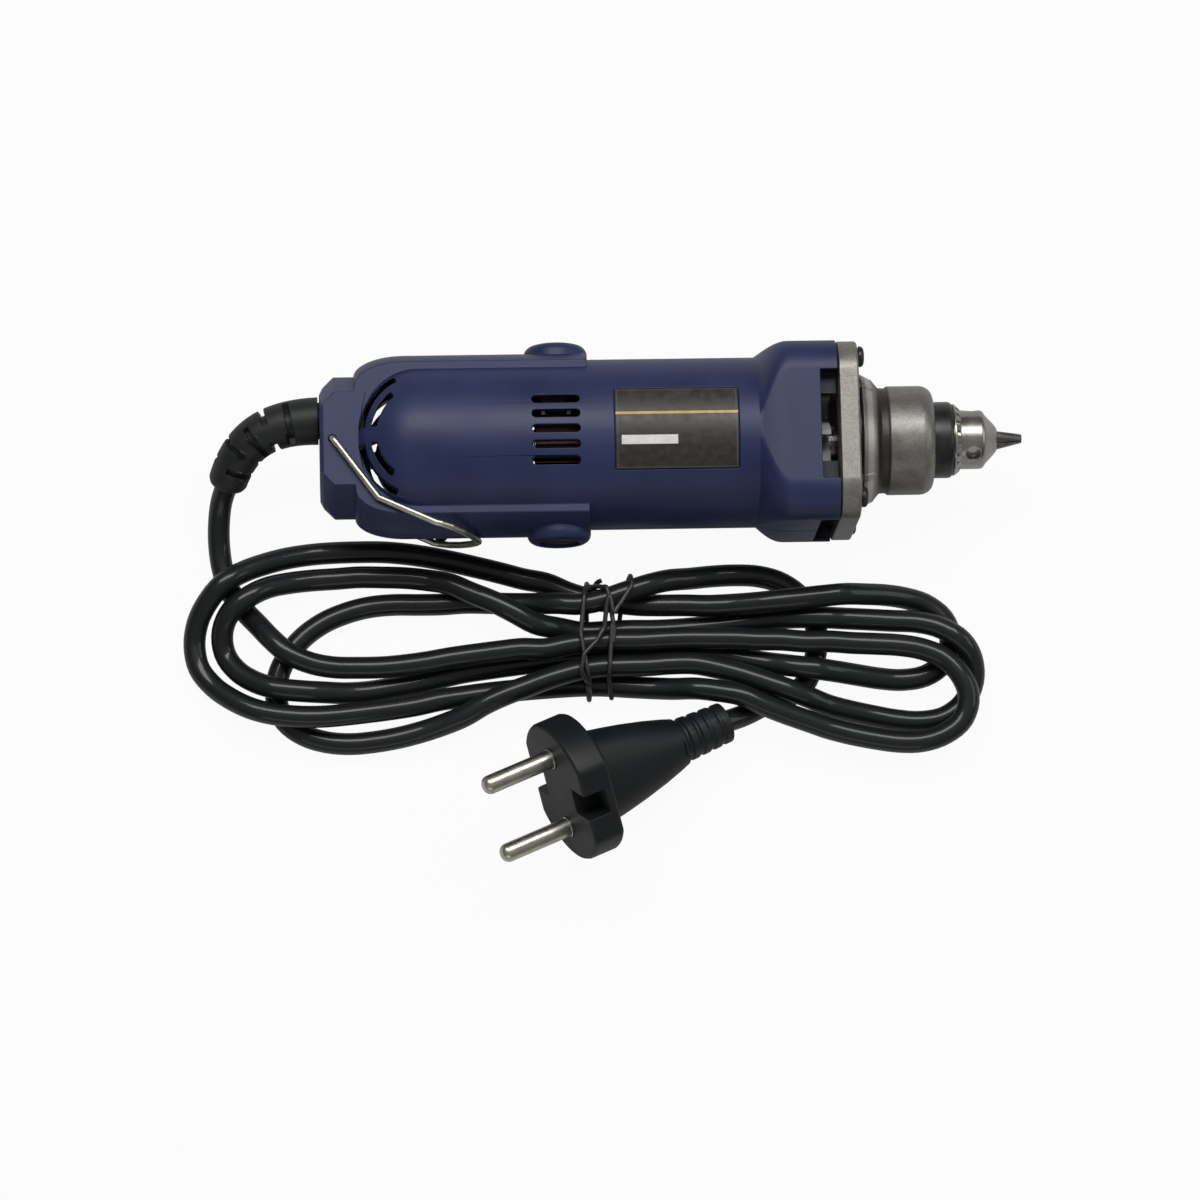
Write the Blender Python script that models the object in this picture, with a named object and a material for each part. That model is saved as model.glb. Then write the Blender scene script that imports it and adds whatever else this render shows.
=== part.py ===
"""Mains mini drill with a keyed chuck, lying on a table beside its folded cord.

The tool's axis runs along +X, from the cord end to the chuck, and +Z is up. The origin is on the
table, under the middle of the tool without its cord. The housing is two shells that meet on the
level plane through the axis; the aluminium nose closes their front and carries the chuck end of
the armature shaft. The cord leaves the tail in a moulded strain relief, lies in a tied hank and
ends in a round two-pin plug.
"""

import math

import bmesh
import bpy
import numpy as np
from mathutils import Matrix, Vector

MM = 0.001
DEG = math.pi / 180

# Clearances shared by all pieces
GAP = 0.3 * MM              # between pieces that touch on the real tool
OVERRUN = 1.5 * MM          # how far a cutter runs past what it cuts
MERGE = 0.02 * MM
PINHOLE = 0.002 * MM
JOINT_MARK = 5 * MM          # size of the empties on the joints' axes

# Housing, from the tail to the front
TAIL_X = -88.3 * MM         # rear face of the housing
BLOCK_LENGTH = 8.7 * MM     # plain block at the tail
BLOCK_HALF_WIDTH = 17.8 * MM
BLOCK_FLAT_HALF_WIDTH = 11.8 * MM
BLOCK_SIDE_HALF_HEIGHT = 2.0 * MM
BLOCK_CORNER = 3.6 * MM     # corner cut away in plan at the rear face
BLOCK_EDGE = 0.9 * MM       # small bevel round the rear face
FLAT_Z = 12.5 * MM          # half thickness of the flat grip
GRIP_R = 23.0 * MM
SWELL_LENGTH = 12.6 * MM    # from the block to the full grip
GRIP_LENGTH = 45.5 * MM     # full grip, up to the brush bosses
BARREL_R = 21.4 * MM
BARREL_LENGTH = 42.4 * MM   # from the grip to the flare
DOME_LENGTH = 18.0 * MM     # rounded rear end of the barrel
DOME_SETBACK = 24.2 * MM    # from the rear face to where the dome starts
FLARE_LENGTH = 7.7 * MM
HEAD_LENGTH = 11.9 * MM     # square head in front of the flare
HEAD_HALF = 22.8 * MM
HEAD_CORNER_R = 9.0 * MM
WALL = 2.5 * MM
FAN_ROOM_R = 19.6 * MM      # wider bore in the head
FAN_ROOM_LENGTH = 10.2 * MM
SEAM = GAP                  # gap between the two shells

# Tail pocket, where the cord comes in
POCKET_HALF_HEIGHT = 7.0 * MM
POCKET_LEFT = 6.5 * MM
POCKET_RIGHT = 13.0 * MM
CORD_EXIT_Y = 7.1 * MM

# Air slots
SLOT_LENGTH = 12.0 * MM
SLOT_WIDTH = 2.0 * MM
SLOT_PITCH = 3.9 * MM
SLOT_COUNT = 5
SLOT_BACK = 1.0 * MM        # slots' middle behind the bosses' middle
ARC_WIDTH = 1.5 * MM
OUTER_ARC = (13.9 * MM, 15.4 * MM)
INNER_ARC = (10.9 * MM, 11.9 * MM)
OUTER_ARC_ANGLES = (112 * DEG, 172 * DEG)
INNER_ARC_ANGLES = (124 * DEG, 170 * DEG)
WINDOW_LENGTH = 4.4 * MM
WINDOW_HALF_WIDTH = 13.8 * MM

# Brush gear
BOSS_R = 8.0 * MM
BOSS_SETBACK = 7.25 * MM    # behind the grip's front
BOSS_REACH = 25.2 * MM      # from the axis to the flat end of a boss
BOSS_FLAT_R = 5.6 * MM
BRUSH_BORE_R = 5.1 * MM
CAP_RECESS = 0.6 * MM
CAP_LENGTH = 5.4 * MM
CAP_SLOT = (1.0 * MM, 0.9 * MM)
BRUSH_X = 5.0 * MM
BRUSH_Z = 4.0 * MM
SPRING_ROOM = 4.1 * MM      # between a brush and the end of its holder
HOLDER_WALL = 0.9 * MM
HOLDER_START = 8.6 * MM
SPRING_WIRE_R = 0.3 * MM
SPRING_TURNS = 3

# Motor
STATOR_LENGTH = 32.0 * MM
STATOR_BACK = 56.0 * MM     # from the front of the housing to the rear of the stator
STATOR_YOKE = 3.0 * MM
POLE_WIDTH = 12.0 * MM
POLE_SHOE = 1.5 * MM
POLE_ANGLE = 62 * DEG
AIR_GAP = 0.6 * MM
ARMATURE_R = 10.2 * MM
ARMATURE_SLOTS = 12
SLOT_DEPTH = 1.6 * MM
COIL_THICK = 1.6 * MM
COIL_WIDE = 2.4 * MM
COIL_OVERHANG = 4.0 * MM
END_TURN = 5.0 * MM
COMMUTATOR_R = 6.5 * MM
COMMUTATOR_LENGTH = 11.0 * MM
COMMUTATOR_BARS = 18
SHAFT_R = 4.0 * MM
JOURNAL_R = 3.0 * MM

# Bearings
REAR_BEARING = (9.5 * MM, 6.0 * MM)     # outer radius and width
FRONT_BEARING = (11.0 * MM, 7.0 * MM)
RACE = 1.7 * MM
REAR_BEARING_BACK = 15.0 * MM           # centre of the rear bearing behind the brushes
SEAT_RING = 2.2 * MM

# Fan and baffle
FAN_R = 17.4 * MM
FAN_DISC = 1.0 * MM
FAN_DEPTH = 4.4 * MM
FAN_HUB_R = 6.0 * MM
FAN_BLADES = 11
BLADE = 1.0 * MM
BAFFLE_LENGTH = 3.0 * MM
BAFFLE_BORE_R = 12.0 * MM

# Nose casting
FLANGE = 5.0 * MM
FLANGE_INSET = 0.3 * MM     # how far the flange stays inside the housing's outline
GROOVE = (1.2 * MM, 14.0 * MM)
COLLAR_LENGTH = 4.7 * MM
COLLAR_R = (16.9 * MM, 14.6 * MM)
NOSE_R = 13.7 * MM
NOSE_LENGTH = 13.9 * MM     # from the collar to the front
NOSE_ROUND = 3.4 * MM
NOSE_LIP_R = 10.9 * MM
BEARING_DEPTH = 9.5 * MM    # from the flange's rear face to the bearing
NOSE_WEB = 2.0 * MM
SHAFT_HOLE_R = 5.6 * MM
GUSSET = 1.8 * MM
SCREW_INSET = 5.0 * MM      # flange screws, from the head's sides
SCREW_HEAD_R = 2.6 * MM
SCREW_HEAD = 1.4 * MM
SCREW_R = 1.5 * MM
SCREW_LENGTH = 15.0 * MM

# Chuck
SLEEVE_R = 9.6 * MM
SLEEVE_FRONT_R = 9.25 * MM
SLEEVE_LENGTH = 9.7 * MM
SLEEVE_WALL = 0.9 * MM
SLEEVE_BACK = 4.8 * MM      # how much of the sleeve sits inside the nose
SLEEVE_ROOM = 0.7 * MM
GEAR_LENGTH = 1.7 * MM
GEAR_R = (9.0 * MM, 7.9 * MM)
GEAR_TEETH = 20
CHUCK_R = 7.4 * MM
CHUCK_LENGTH = 11.4 * MM    # chuck body in front of the sleeve
CHUCK_SHOULDER = 3.9 * MM
CHUCK_NOSE_R = 3.1 * MM
DRILL_HOLE_R = 1.9 * MM
KEY_HOLE_R = 1.85 * MM
KEY_HOLE_FORWARD = 5.0 * MM  # ahead of the sleeve
KEY_HOLE_DEPTH = 2.2 * MM
KEY_HOLE_ANGLE = 130 * DEG
NUT_LENGTH = 2.4 * MM
JAW_R = 1.45 * MM
JAW_ANGLE = 14 * DEG
JAW_REACH = 6.4 * MM        # jaw tips ahead of the chuck body
JAW_CROSS = 1.9 * MM        # how far behind their tips the jaws' axes meet
JAW_LENGTH = 21.0 * MM
JAW_TRAVEL = 6.4 * MM
SPINDLE_R = 3.1 * MM
SPINDLE_LENGTH = 5.0 * MM

# Label
LABEL_LENGTH = 30.5 * MM
LABEL_ARC = 21.0 * MM
LABEL_THICK = 0.35 * MM
LABEL_SINK = 0.5 * MM
LABEL_BACK = 6.5 * MM       # from the grip's front to the label

# Shell screws
SHELL_SCREW_Y = 20.3 * MM
SHELL_SCREW_FORWARD = 30.3 * MM         # from the rear face
TAIL_SCREW_FORWARD = 5.0 * MM
TAIL_SCREW_Y = 9.4 * MM
SHELL_SCREW_R = 1.0 * MM
SHELL_HEAD_R = 1.8 * MM
SHELL_HEAD = 1.4 * MM
SHELL_SCREW_LENGTH = 15.0 * MM

# Switch, under the barrel
SWITCH_LENGTH = 15.0 * MM
SWITCH_WIDTH = 9.6 * MM
SWITCH_DEPTH = 7.6 * MM
SWITCH_CENTRE = 43.0 * MM   # forward of the rear face
BEZEL = 1.0 * MM
BEZEL_RIM = 0.9 * MM
BEZEL_DROP = 0.2 * MM       # how far the bezel stands below the barrel
ROCKER_LENGTH = 11.4 * MM
ROCKER_WIDTH = 6.4 * MM
ROCKER_DEPTH = 3.4 * MM
ROCKER_TILT = 6 * DEG

# Speed dial and its board
DIAL_R = 8.0 * MM
DIAL_WIDTH = 4.0 * MM
DIAL_PROUD = 0.6 * MM
DIAL_FORWARD = 25.6 * MM
DIAL_RIBS = 18
DIAL_RIB = 0.4 * MM
DIAL_ROOM = 0.6 * MM
POT_R = 3.6 * MM
POT_LENGTH = 1.6 * MM
BOARD_THICK = 1.6 * MM
BOARD_LENGTH = 16.0 * MM
BOARD_HEIGHT = 21.0 * MM
BOARD_BOTTOM = 12.0 * MM    # below the axis
BOARD_PART = 4.0 * MM

# Strain relief and cord clamp
RELIEF_BASE_R = 6.0 * MM
RELIEF_END_R = 4.9 * MM
RELIEF_NECK_R = 4.6 * MM
RELIEF_FLANGE = (6.0 * MM, 2.4 * MM)
RELIEF_GROOVE = 0.7 * MM
CLAMP_LENGTH = 5.0 * MM
CLAMP_HALF_WIDTH = 5.0 * MM
CLAMP_THICK = 2.0 * MM

# Hanging bail
BAIL_WIRE_R = 0.85 * MM
BAIL_PIVOT_FORWARD = 3.1 * MM
BAIL_PIN = 2.6 * MM
BAIL_BEND = (11.2 * MM, 15.3 * MM)      # forward of the pivot, and to the side
BAIL_SHOULDER_FORWARD = 25.4 * MM
BAIL_SHOULDER_IN = 1.2 * MM              # inside the grip's edge
BAIL_TIP_FORWARD = 36.3 * MM
BAIL_TIP_OUT = 1.3 * MM                  # outside the grip's edge

# Cord
CORD_D = 5.6 * MM
LAYER = 6.0 * MM            # rise of a strand that lies on another
STRAND_PITCH = 6.5 * MM    # least distance between the middles of two strands
WAIST_X = -18.5 * MM        # where the tie holds the hank
WAIST_LIFT = 2.0 * MM       # the tie's wire lifts the strands there
WAIST_RAMP = 24.0 * MM
ROUTE_STEP = 3.0 * MM
TUBE_RUN = 8.5 * MM         # longest run between two points of the hank's tube
TUBE_TURN = 10 * DEG
TAIL_RUN = 16.0 * MM        # free cord between the hank and the plug's boot
SETTLE_STEP = 0.04 * MM     # how far the cord sinks in one step while it settles

# Tie
TIE_R = 0.6 * MM
TIE_TURNS = 2
TIE_WIDTH = 8.0 * MM

# Plug
PLUG_FACE = (-29.9 * MM, -87.6 * MM)    # middle of the pin face, in plan
PLUG_YAW = 204 * DEG
PLUG_TILT = 13 * DEG
PLUG_ROLL = -32 * DEG         # it leans over onto the end of its lower flat
PLUG_R = 18.2 * MM
PLUG_FLAT = 15.5 * MM
PLUG_HEAD = 8.5 * MM
PLUG_EDGE = 1.06 * MM         # bevel of the head's rims
PLUG_GRIP_LENGTH = 26.0 * MM
PLUG_GRIP_WIDE = (12.8 * MM, 12.0 * MM, 8.4 * MM, 5.9 * MM)
PLUG_GRIP_HIGH = (8.6 * MM, 8.4 * MM, 7.0 * MM, 5.6 * MM)
PLUG_GRIP_SHARES = (0.0, 0.15, 0.72, 1.0)
PLUG_BOOT_LENGTH = 13.0 * MM
PLUG_BOOT_R = (5.8 * MM, 5.2 * MM)
PLUG_BOOT_RIBS = 4
PLUG_BOOT_GROOVE = 0.8 * MM
PLUG_NOTCH = (6.5 * MM, 7.5 * MM)       # width and depth
PIN_R = 2.4 * MM
PIN_LENGTH = 19.0 * MM
PIN_HALF_PITCH = 9.5 * MM
PIN_ROOT = 3.0 * MM

# The cord's route: X and Y in millimetres, then how many layers up the strand lies
ROUTE_UNIT = 1.0 * MM
LEAD_ROUTE = [(-111.6, -6.5, 13.0), (-113.3, -11.0, 8.8), (-113.9, -16.5, 5.4), (-113.8, -22.5, 3.3)]
HANK_ROUTE = [
    # left end to the tie, over the third loop
    (-112.6, -29.2, 0), (-109.6, -35.6, 0), (-104.5, -41.9, .4), (-99.8, -47.6, 1), (-94.6, -51.6, 1),
    (-87.5, -53.8, .9), (-79.1, -54.4, .7), (-67.6, -53.6, .7), (-53.3, -51.5, .7), (-39, -49.6, .8),
    (-21.8, -48.2, 1),
    # first right loop
    (-6.6, -48.8, 1), (7.5, -48.3, .9), (21.5, -48.1, .9), (35.5, -48.2, 1.1), (48.1, -48.8, 1),
    (56.5, -49.2, 1.1), (64.5, -50.6, 1.1), (71.2, -54.4, 1.1), (74.8, -61, 1.1), (73.2, -68, 1),
    (67, -72.4, 1), (59, -73.5, .95), (49, -72, .9), (39, -69.2, .9), (25, -63.6, 1.1), (14.5, -58.9, 1.1),
    (4.1, -56, .8), (-6.3, -56.1, .1),
    # first left loop, the widest
    (-21.5, -56.1, 0), (-38.8, -57.6, 0), (-53.2, -59.7, .3), (-67.6, -62.8, .7), (-85, -65.1, 1),
    (-96.4, -65.2, 1), (-107.1, -62.7, .8), (-115.2, -57.2, .2), (-119.3, -51.4, 0), (-119.8, -45.2, 0),
    (-117.8, -39.2, .5), (-112.2, -32.6, 1), (-103.5, -27.5, .5), (-92.6, -24.4, 0), (-80.4, -23.6, 0),
    (-67.5, -24.3, 0), (-53.1, -27.5, 0), (-38.8, -32, 0), (-24.4, -37, 0),
    # second right loop, the short one
    (-6.5, -38.6, .6), (4, -39.2, .9), (14.5, -39.6, 1.3), (28.5, -39, 2), (42.5, -37.6, 1.9),
    (51, -37, 1.2), (59, -37.2, .5), (66.2, -39.4, .1), (70.8, -44.6, 0), (70.6, -51.4, 0),
    (65.4, -56.6, 0), (57.5, -58, 0), (48.5, -57.2, .3), (39.1, -56.2, .8), (32, -55.6, 1),
    (21.6, -53.4, .5), (11.2, -51.2, .2), (.7, -50.6, 0),
    # second left loop, inside the first
    (-21.5, -50.6, 0), (-38.8, -52.4, 0), (-53.1, -55, 0), (-67.5, -57.5, 0), (-81.9, -58.9, .5),
    (-93, -58.9, 1), (-101.5, -57.6, .9), (-109, -53.4, .4), (-113.4, -47, .1), (-113.2, -40.2, .6),
    (-108.6, -34.4, 1), (-101.4, -31.2, .6), (-93, -29.8, .1), (-84.7, -29.4, 0), (-74.7, -29.5, 0),
    (-60.4, -31.1, 0), (-46.1, -36, .6), (-35.3, -40.5, .6), (-21.6, -44.4, 0),
    # third right loop, beside the first
    (-6.3, -44.4, 0), (7.7, -43.9, 0), (21.7, -43.6, .6), (32.3, -43.6, 1), (42.8, -43.6, .9),
    (53.3, -44, .8), (63, -45, .95), (70.6, -48.4, 1), (74.8, -54.8, .5), (74.2, -62, 0),
    (69.2, -67.2, 0), (62, -68.8, 0), (52.3, -67.6, 0), (39.3, -64.6, .3), (30.7, -61.6, .9),
    (21.5, -58.2, .9), (13.1, -55.5, .8), (4, -53.9, .8), (-6.6, -53.3, .9),
    # third left loop, under the others
    (-21.8, -53.4, .9), (-35.4, -56.5, .9), (-46.1, -59.6, .8), (-56.8, -63.5, .3), (-64.9, -66.8, 0),
    (-74.6, -69.4, 0), (-84.7, -70.4, 0), (-92.6, -68.9, 0), (-98.4, -65, 0), (-100.6, -58.9, 0),
    (-99.6, -52.6, 0), (-96.4, -47.2, 0), (-91.9, -42.9, 0), (-84.7, -39, 0), (-74.6, -36.6, 0),
    (-63.9, -36.6, 0), (-53.1, -36.7, 0), (-43.8, -38.1, .1), (-33.2, -40.2, .6), (-21.8, -40.8, 1),
    # last pass, out of the tie and under the right loops
    (-10, -37.9, .9), (-1.2, -35.2, .6), (7.7, -33, .1), (17.5, -31.8, 0), (26.4, -32.6, 0),
    (33, -36.6, 0), (36.6, -42.6, 0), (37.2, -49, 0), (35.6, -55.2, 0), (31.8, -60.4, 0),
]

# Places along the axis, worked out from the sizes above
AXIS_Z = HEAD_HALF
SCREW_PLACE = HEAD_HALF - SCREW_INSET   # flange screws, from the axis along Y and Z
BRUSH_LENGTH = BOSS_REACH - CAP_RECESS - CAP_LENGTH - COMMUTATOR_R - 2 * GAP - SPRING_ROOM
BAIL_SHOULDER = (BAIL_SHOULDER_FORWARD, GRIP_R - BAIL_SHOULDER_IN)
BAIL_TIP = (BAIL_TIP_FORWARD, GRIP_R + BAIL_TIP_OUT)
BLOCK_X = TAIL_X + BLOCK_LENGTH
SWELL_X = BLOCK_X + SWELL_LENGTH
GRIP_X = SWELL_X + GRIP_LENGTH
FLARE_X = GRIP_X + BARREL_LENGTH
HEAD_X = FLARE_X + FLARE_LENGTH
FRONT_X = HEAD_X + HEAD_LENGTH
DOME_X = TAIL_X + DOME_SETBACK
BORE_R = BARREL_R - WALL
ROOM_X = FRONT_X - FAN_ROOM_LENGTH
BRUSH_X_PLACE = GRIP_X - BOSS_SETBACK
FLANGE_X = FRONT_X + GAP
COLLAR_X = FLANGE_X + FLANGE
NOSE_X = COLLAR_X + GROOVE[0] + COLLAR_LENGTH
NOSE_FRONT_X = NOSE_X + NOSE_LENGTH
FRONT_BEARING_X = FLANGE_X + BEARING_DEPTH
SLEEVE_X = NOSE_FRONT_X - SLEEVE_BACK
SLEEVE_FRONT_X = SLEEVE_X + SLEEVE_LENGTH
CHUCK_FRONT_X = SLEEVE_FRONT_X + CHUCK_LENGTH
JAW_TIP_X = CHUCK_FRONT_X + JAW_REACH
CHUCK_BACK_R = SLEEVE_R - SLEEVE_WALL - GAP
JAW_CROSS_X = JAW_TIP_X - JAW_CROSS
NUT_FRONT_X = SLEEVE_FRONT_X - GAP
NUT_X = NUT_FRONT_X - NUT_LENGTH
REAR_BEARING_X = BRUSH_X_PLACE - REAR_BEARING_BACK
STATOR_X = FRONT_X - STATOR_BACK
STATOR_R = BORE_R - GAP
STATOR_BORE_R = ARMATURE_R + AIR_GAP
COMMUTATOR_X = BRUSH_X_PLACE - COMMUTATOR_LENGTH / 2
PIVOT_X = TAIL_X + BAIL_PIVOT_FORWARD
DIAL_X = TAIL_X + DIAL_FORWARD
DIAL_Z = DIAL_R - BARREL_R - DIAL_PROUD
SWITCH_X = TAIL_X + SWITCH_CENTRE
AXIS = Vector((0, 0, AXIS_Z))

HOUSING_SIDES = 32
ROUND_SIDES = 20
SMALL_SIDES = 10


def clear_scene():
    for item in list(bpy.data.objects):
        bpy.data.objects.remove(item, do_unlink=True)


def material(name, colour, metallic, roughness):
    made = bpy.data.materials.new(name)
    made.use_nodes = True
    shader = made.node_tree.nodes["Principled BSDF"]
    shader.inputs["Base Color"].default_value = (*colour, 1)
    shader.inputs["Metallic"].default_value = metallic
    shader.inputs["Roughness"].default_value = roughness
    return made


def make_materials():
    return {
        "housing": material("navy_plastic", (0.018, 0.019, 0.075), 0.0, 0.45),
        "casting": material("cast_aluminium", (0.27, 0.26, 0.24), 0.6, 0.5),
        "steel": material("bright_steel", (0.42, 0.41, 0.40), 1.0, 0.28),
        "dark_steel": material("blackened_steel", (0.03, 0.03, 0.032), 0.7, 0.4),
        "black": material("black_plastic", (0.012, 0.013, 0.014), 0.0, 0.5),
        "cord": material("black_cord", (0.01, 0.011, 0.012), 0.0, 0.35),
        "nickel": material("nickel_plate", (0.55, 0.53, 0.47), 1.0, 0.25),
        "label": material("charcoal_label", (0.03, 0.03, 0.032), 0.0, 0.5),
        "fan": material("grey_fan", (0.35, 0.36, 0.38), 0.0, 0.5),
        "copper": material("copper", (0.55, 0.22, 0.08), 0.9, 0.35),
        "lamination": material("laminated_steel", (0.16, 0.16, 0.17), 0.8, 0.45),
        "carbon": material("carbon", (0.02, 0.02, 0.02), 0.1, 0.7),
        "brass": material("brass", (0.6, 0.42, 0.14), 1.0, 0.3),
        "board": material("board_green", (0.02, 0.12, 0.05), 0.0, 0.5),
    }


def mesh_from(bm):
    bmesh.ops.remove_doubles(bm, verts=bm.verts, dist=MERGE)
    bmesh.ops.recalc_face_normals(bm, faces=bm.faces)
    if bm.calc_volume(signed=True) < 0:
        bmesh.ops.reverse_faces(bm, faces=bm.faces)
    return linked(bm)


def linked(bm, name="solid"):
    mesh = bpy.data.meshes.new(name)
    bm.to_mesh(mesh)
    bm.free()
    item = bpy.data.objects.new(name, mesh)
    bpy.context.scene.collection.objects.link(item)
    return item


def loft(rings, closed_ends=True, closed_loop=False):
    """Joins rings of equal length with quads; closed_loop also joins the last ring to the first."""
    bm = bmesh.new()
    rows = [[bm.verts.new(point) for point in ring] for ring in rings]
    pairs = list(zip(rows, rows[1:]))
    if closed_loop:
        pairs.append((rows[-1], rows[0]))
    for one, other in pairs:
        for i in range(len(one)):
            j = (i + 1) % len(one)
            bm.faces.new((one[i], one[j], other[j], other[i]))
    if closed_ends and not closed_loop:
        bm.faces.new(rows[0])
        bm.faces.new(reversed(rows[-1]))
    return mesh_from(bm)


def along_x(x, y, z):
    return Vector((x, y, z)) + AXIS


def turned(profile, sides=ROUND_SIDES, ring=False, centre=None, direction=None):
    """Turns (station, radius) pairs about the tool's axis, or about a given line.

    A solid's profile runs from the axis back to the axis; a ring's profile is a closed outline.
    """
    centre = AXIS if centre is None else centre
    turn = Vector((1, 0, 0)).rotation_difference(direction or Vector((1, 0, 0))).to_matrix()
    bm = bmesh.new()
    rows = []
    for i, (station, radius) in enumerate(profile):
        if radius <= 0:
            beside = profile[1 if i == 0 else i - 1][0]
            pointed = beside != station
            rows.append([bm.verts.new(centre + turn @ Vector((station, 0, 0)))] if pointed else [])
            continue
        row = []
        for k in range(sides):
            angle = 2 * math.pi * (k + 0.5) / sides
            spot = Vector((station, radius * math.cos(angle), radius * math.sin(angle)))
            row.append(bm.verts.new(centre + turn @ spot))
        rows.append(row)
    pairs = list(zip(rows, rows[1:]))
    if ring:
        pairs.append((rows[-1], rows[0]))
    for one, other in pairs:
        if not one or not other:
            bm.faces.new(one or other)
            continue
        for k in range(sides):
            n = (k + 1) % sides
            if len(one) == 1:
                bm.faces.new((one[0], other[n], other[k]))
            elif len(other) == 1:
                bm.faces.new((one[k], one[n], other[0]))
            else:
                bm.faces.new((one[k], one[n], other[n], other[k]))
    return mesh_from(bm)


def rod(start, end, radius, sides=SMALL_SIDES):
    """A plain round bar between two points."""
    line = end - start
    return turned([(0, 0), (0, radius), (line.length, radius), (line.length, 0)], sides,
                  centre=start, direction=line.normalized())


def tube_ring(x0, x1, inner, outer, sides=ROUND_SIDES):
    return turned([(x0, inner), (x0, outer), (x1, outer), (x1, inner)], sides, ring=True)


def box(low, high):
    bm = bmesh.new()
    bmesh.ops.create_cube(bm, size=1)
    low = Vector(low)
    high = Vector(high)
    size = high - low
    place = Matrix.Translation((low + high) / 2) @ Matrix.Diagonal((*size, 1))
    bmesh.ops.transform(bm, matrix=place, verts=bm.verts)
    return mesh_from(bm)


def axis_box(x0, x1, y0, y1, z0, z1):
    """A box whose heights are counted from the tool's axis."""
    return box((x0, y0, AXIS_Z + z0), (x1, y1, AXIS_Z + z1))


def prism(outline, z0, z1):
    """An upright prism over an outline in plan, heights counted from the axis."""
    rings = [[Vector((x, y, AXIS_Z + z)) for x, y in outline] for z in (z0, z1)]
    return loft(rings)


def tidy(mesh):
    """Closes the pin-hole edges that rounding leaves along a cut."""
    bm = bmesh.new()
    bm.from_mesh(mesh)
    bmesh.ops.remove_doubles(bm, verts=bm.verts, dist=PINHOLE)
    bmesh.ops.dissolve_degenerate(bm, edges=bm.edges, dist=PINHOLE)
    bm.to_mesh(mesh)
    bm.free()


def combine(target, others, operation):
    """One exact boolean between a solid and others, which may overlap each other."""
    other = group(*others)
    change = target.modifiers.new("cut", "BOOLEAN")
    change.operation = operation
    change.solver = "EXACT"
    change.use_self = len(others) > 1
    change.object = other
    bpy.context.view_layer.update()
    seen = target.evaluated_get(bpy.context.evaluated_depsgraph_get())
    mesh = bpy.data.meshes.new_from_object(seen)
    target.modifiers.remove(change)
    tidy(mesh)
    target.data = mesh
    bpy.data.objects.remove(other, do_unlink=True)
    return target


def join(target, *others):
    return combine(target, others, "UNION")


def cut(target, *others):
    return combine(target, others, "DIFFERENCE")


def group(first, *others):
    """Puts separate solids into one object."""
    bm = bmesh.new()
    for item in (first, *others):
        bm.from_mesh(item.data)
    for item in (first, *others):
        bpy.data.objects.remove(item, do_unlink=True)
    return linked(bm)


def moved(item, matrix):
    item.data.transform(matrix)
    return item


def copy_of(item):
    twin = item.copy()
    twin.data = item.data.copy()
    bpy.context.scene.collection.objects.link(twin)
    return twin


def flipped(item, axis):
    """A mirror copy across the tool's axis plane, along Y or Z."""
    twin = copy_of(item)
    scale = Matrix.Scale(-1, 4, axis)
    twin.data.transform(Matrix.Translation(AXIS) @ scale @ Matrix.Translation(-AXIS))
    twin.data.flip_normals()
    return twin


def finish(item, name, kind, origin=None, smooth=35 * DEG):
    """Names a finished solid, gives it its material and puts its origin where it turns."""
    bm = bmesh.new()
    bm.from_mesh(item.data)
    bmesh.ops.remove_doubles(bm, verts=bm.verts, dist=MERGE)
    bmesh.ops.dissolve_degenerate(bm, edges=bm.edges, dist=MERGE)
    bm.to_mesh(item.data)
    bm.free()
    origin = Vector((0, 0, 0)) if origin is None else origin
    item.data.transform(Matrix.Translation(-origin))
    item.location = origin
    item.name = name
    item.data.name = name
    own = MATERIALS[kind].copy()
    own.name = name + "_" + kind
    item.data.materials.clear()
    item.data.materials.append(own)
    item.data.shade_smooth()
    item.data.set_sharp_from_angle(angle=smooth)
    return item


def joint_frame(name, place, items):
    """An empty on a joint's axis that carries the pieces that move there."""
    frame = bpy.data.objects.new(name, None)
    frame.location = place
    frame.empty_display_size = JOINT_MARK
    bpy.context.scene.collection.objects.link(frame)
    for item in items:
        item.parent = frame
        item.matrix_parent_inverse = Matrix.Translation(-place)
    return frame


def square_ring(x, half, corner_r):
    """A rounded square across the axis; with corner_r equal to half it is a circle."""
    ring = []
    per_corner = HOUSING_SIDES // 4
    middle = half - corner_r
    for k in range(HOUSING_SIDES):
        angle = (k + 0.5) / per_corner * math.pi / 2
        turn = math.floor((k + 0.5) / per_corner)
        corner = (turn + 0.5) * math.pi / 2
        y = math.copysign(middle, math.cos(corner)) + corner_r * math.cos(angle)
        z = math.copysign(middle, math.sin(corner)) + corner_r * math.sin(angle)
        ring.append(along_x(x, y, z))
    return ring


DOME_SHARES = (0.985, 0.93, 0.82, 0.67, 0.48, 0.25)
FLARE_SHARES = (0.17, 0.34, 0.52, 0.72)


def barrel_solid():
    """Domed barrel, flare and square head in one skin."""
    rings = []
    for share in DOME_SHARES:
        radius = BARREL_R * math.sqrt(1 - share ** 2)
        rings.append(square_ring(DOME_X - DOME_LENGTH * share, radius, radius))
    rings.append(square_ring(DOME_X, BARREL_R, BARREL_R))
    rings.append(square_ring(FLARE_X, BARREL_R, BARREL_R))
    for share in FLARE_SHARES:
        grown = math.sin(share * math.pi / 2)
        half = BARREL_R + (HEAD_HALF - BARREL_R) * grown
        corner = BARREL_R + (HEAD_CORNER_R - BARREL_R) * grown
        rings.append(square_ring(FLARE_X + FLARE_LENGTH * share, half, corner))
    rings.append(square_ring(HEAD_X, HEAD_HALF, HEAD_CORNER_R))
    rings.append(square_ring(FRONT_X, HEAD_HALF, HEAD_CORNER_R))
    return loft(rings)


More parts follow.
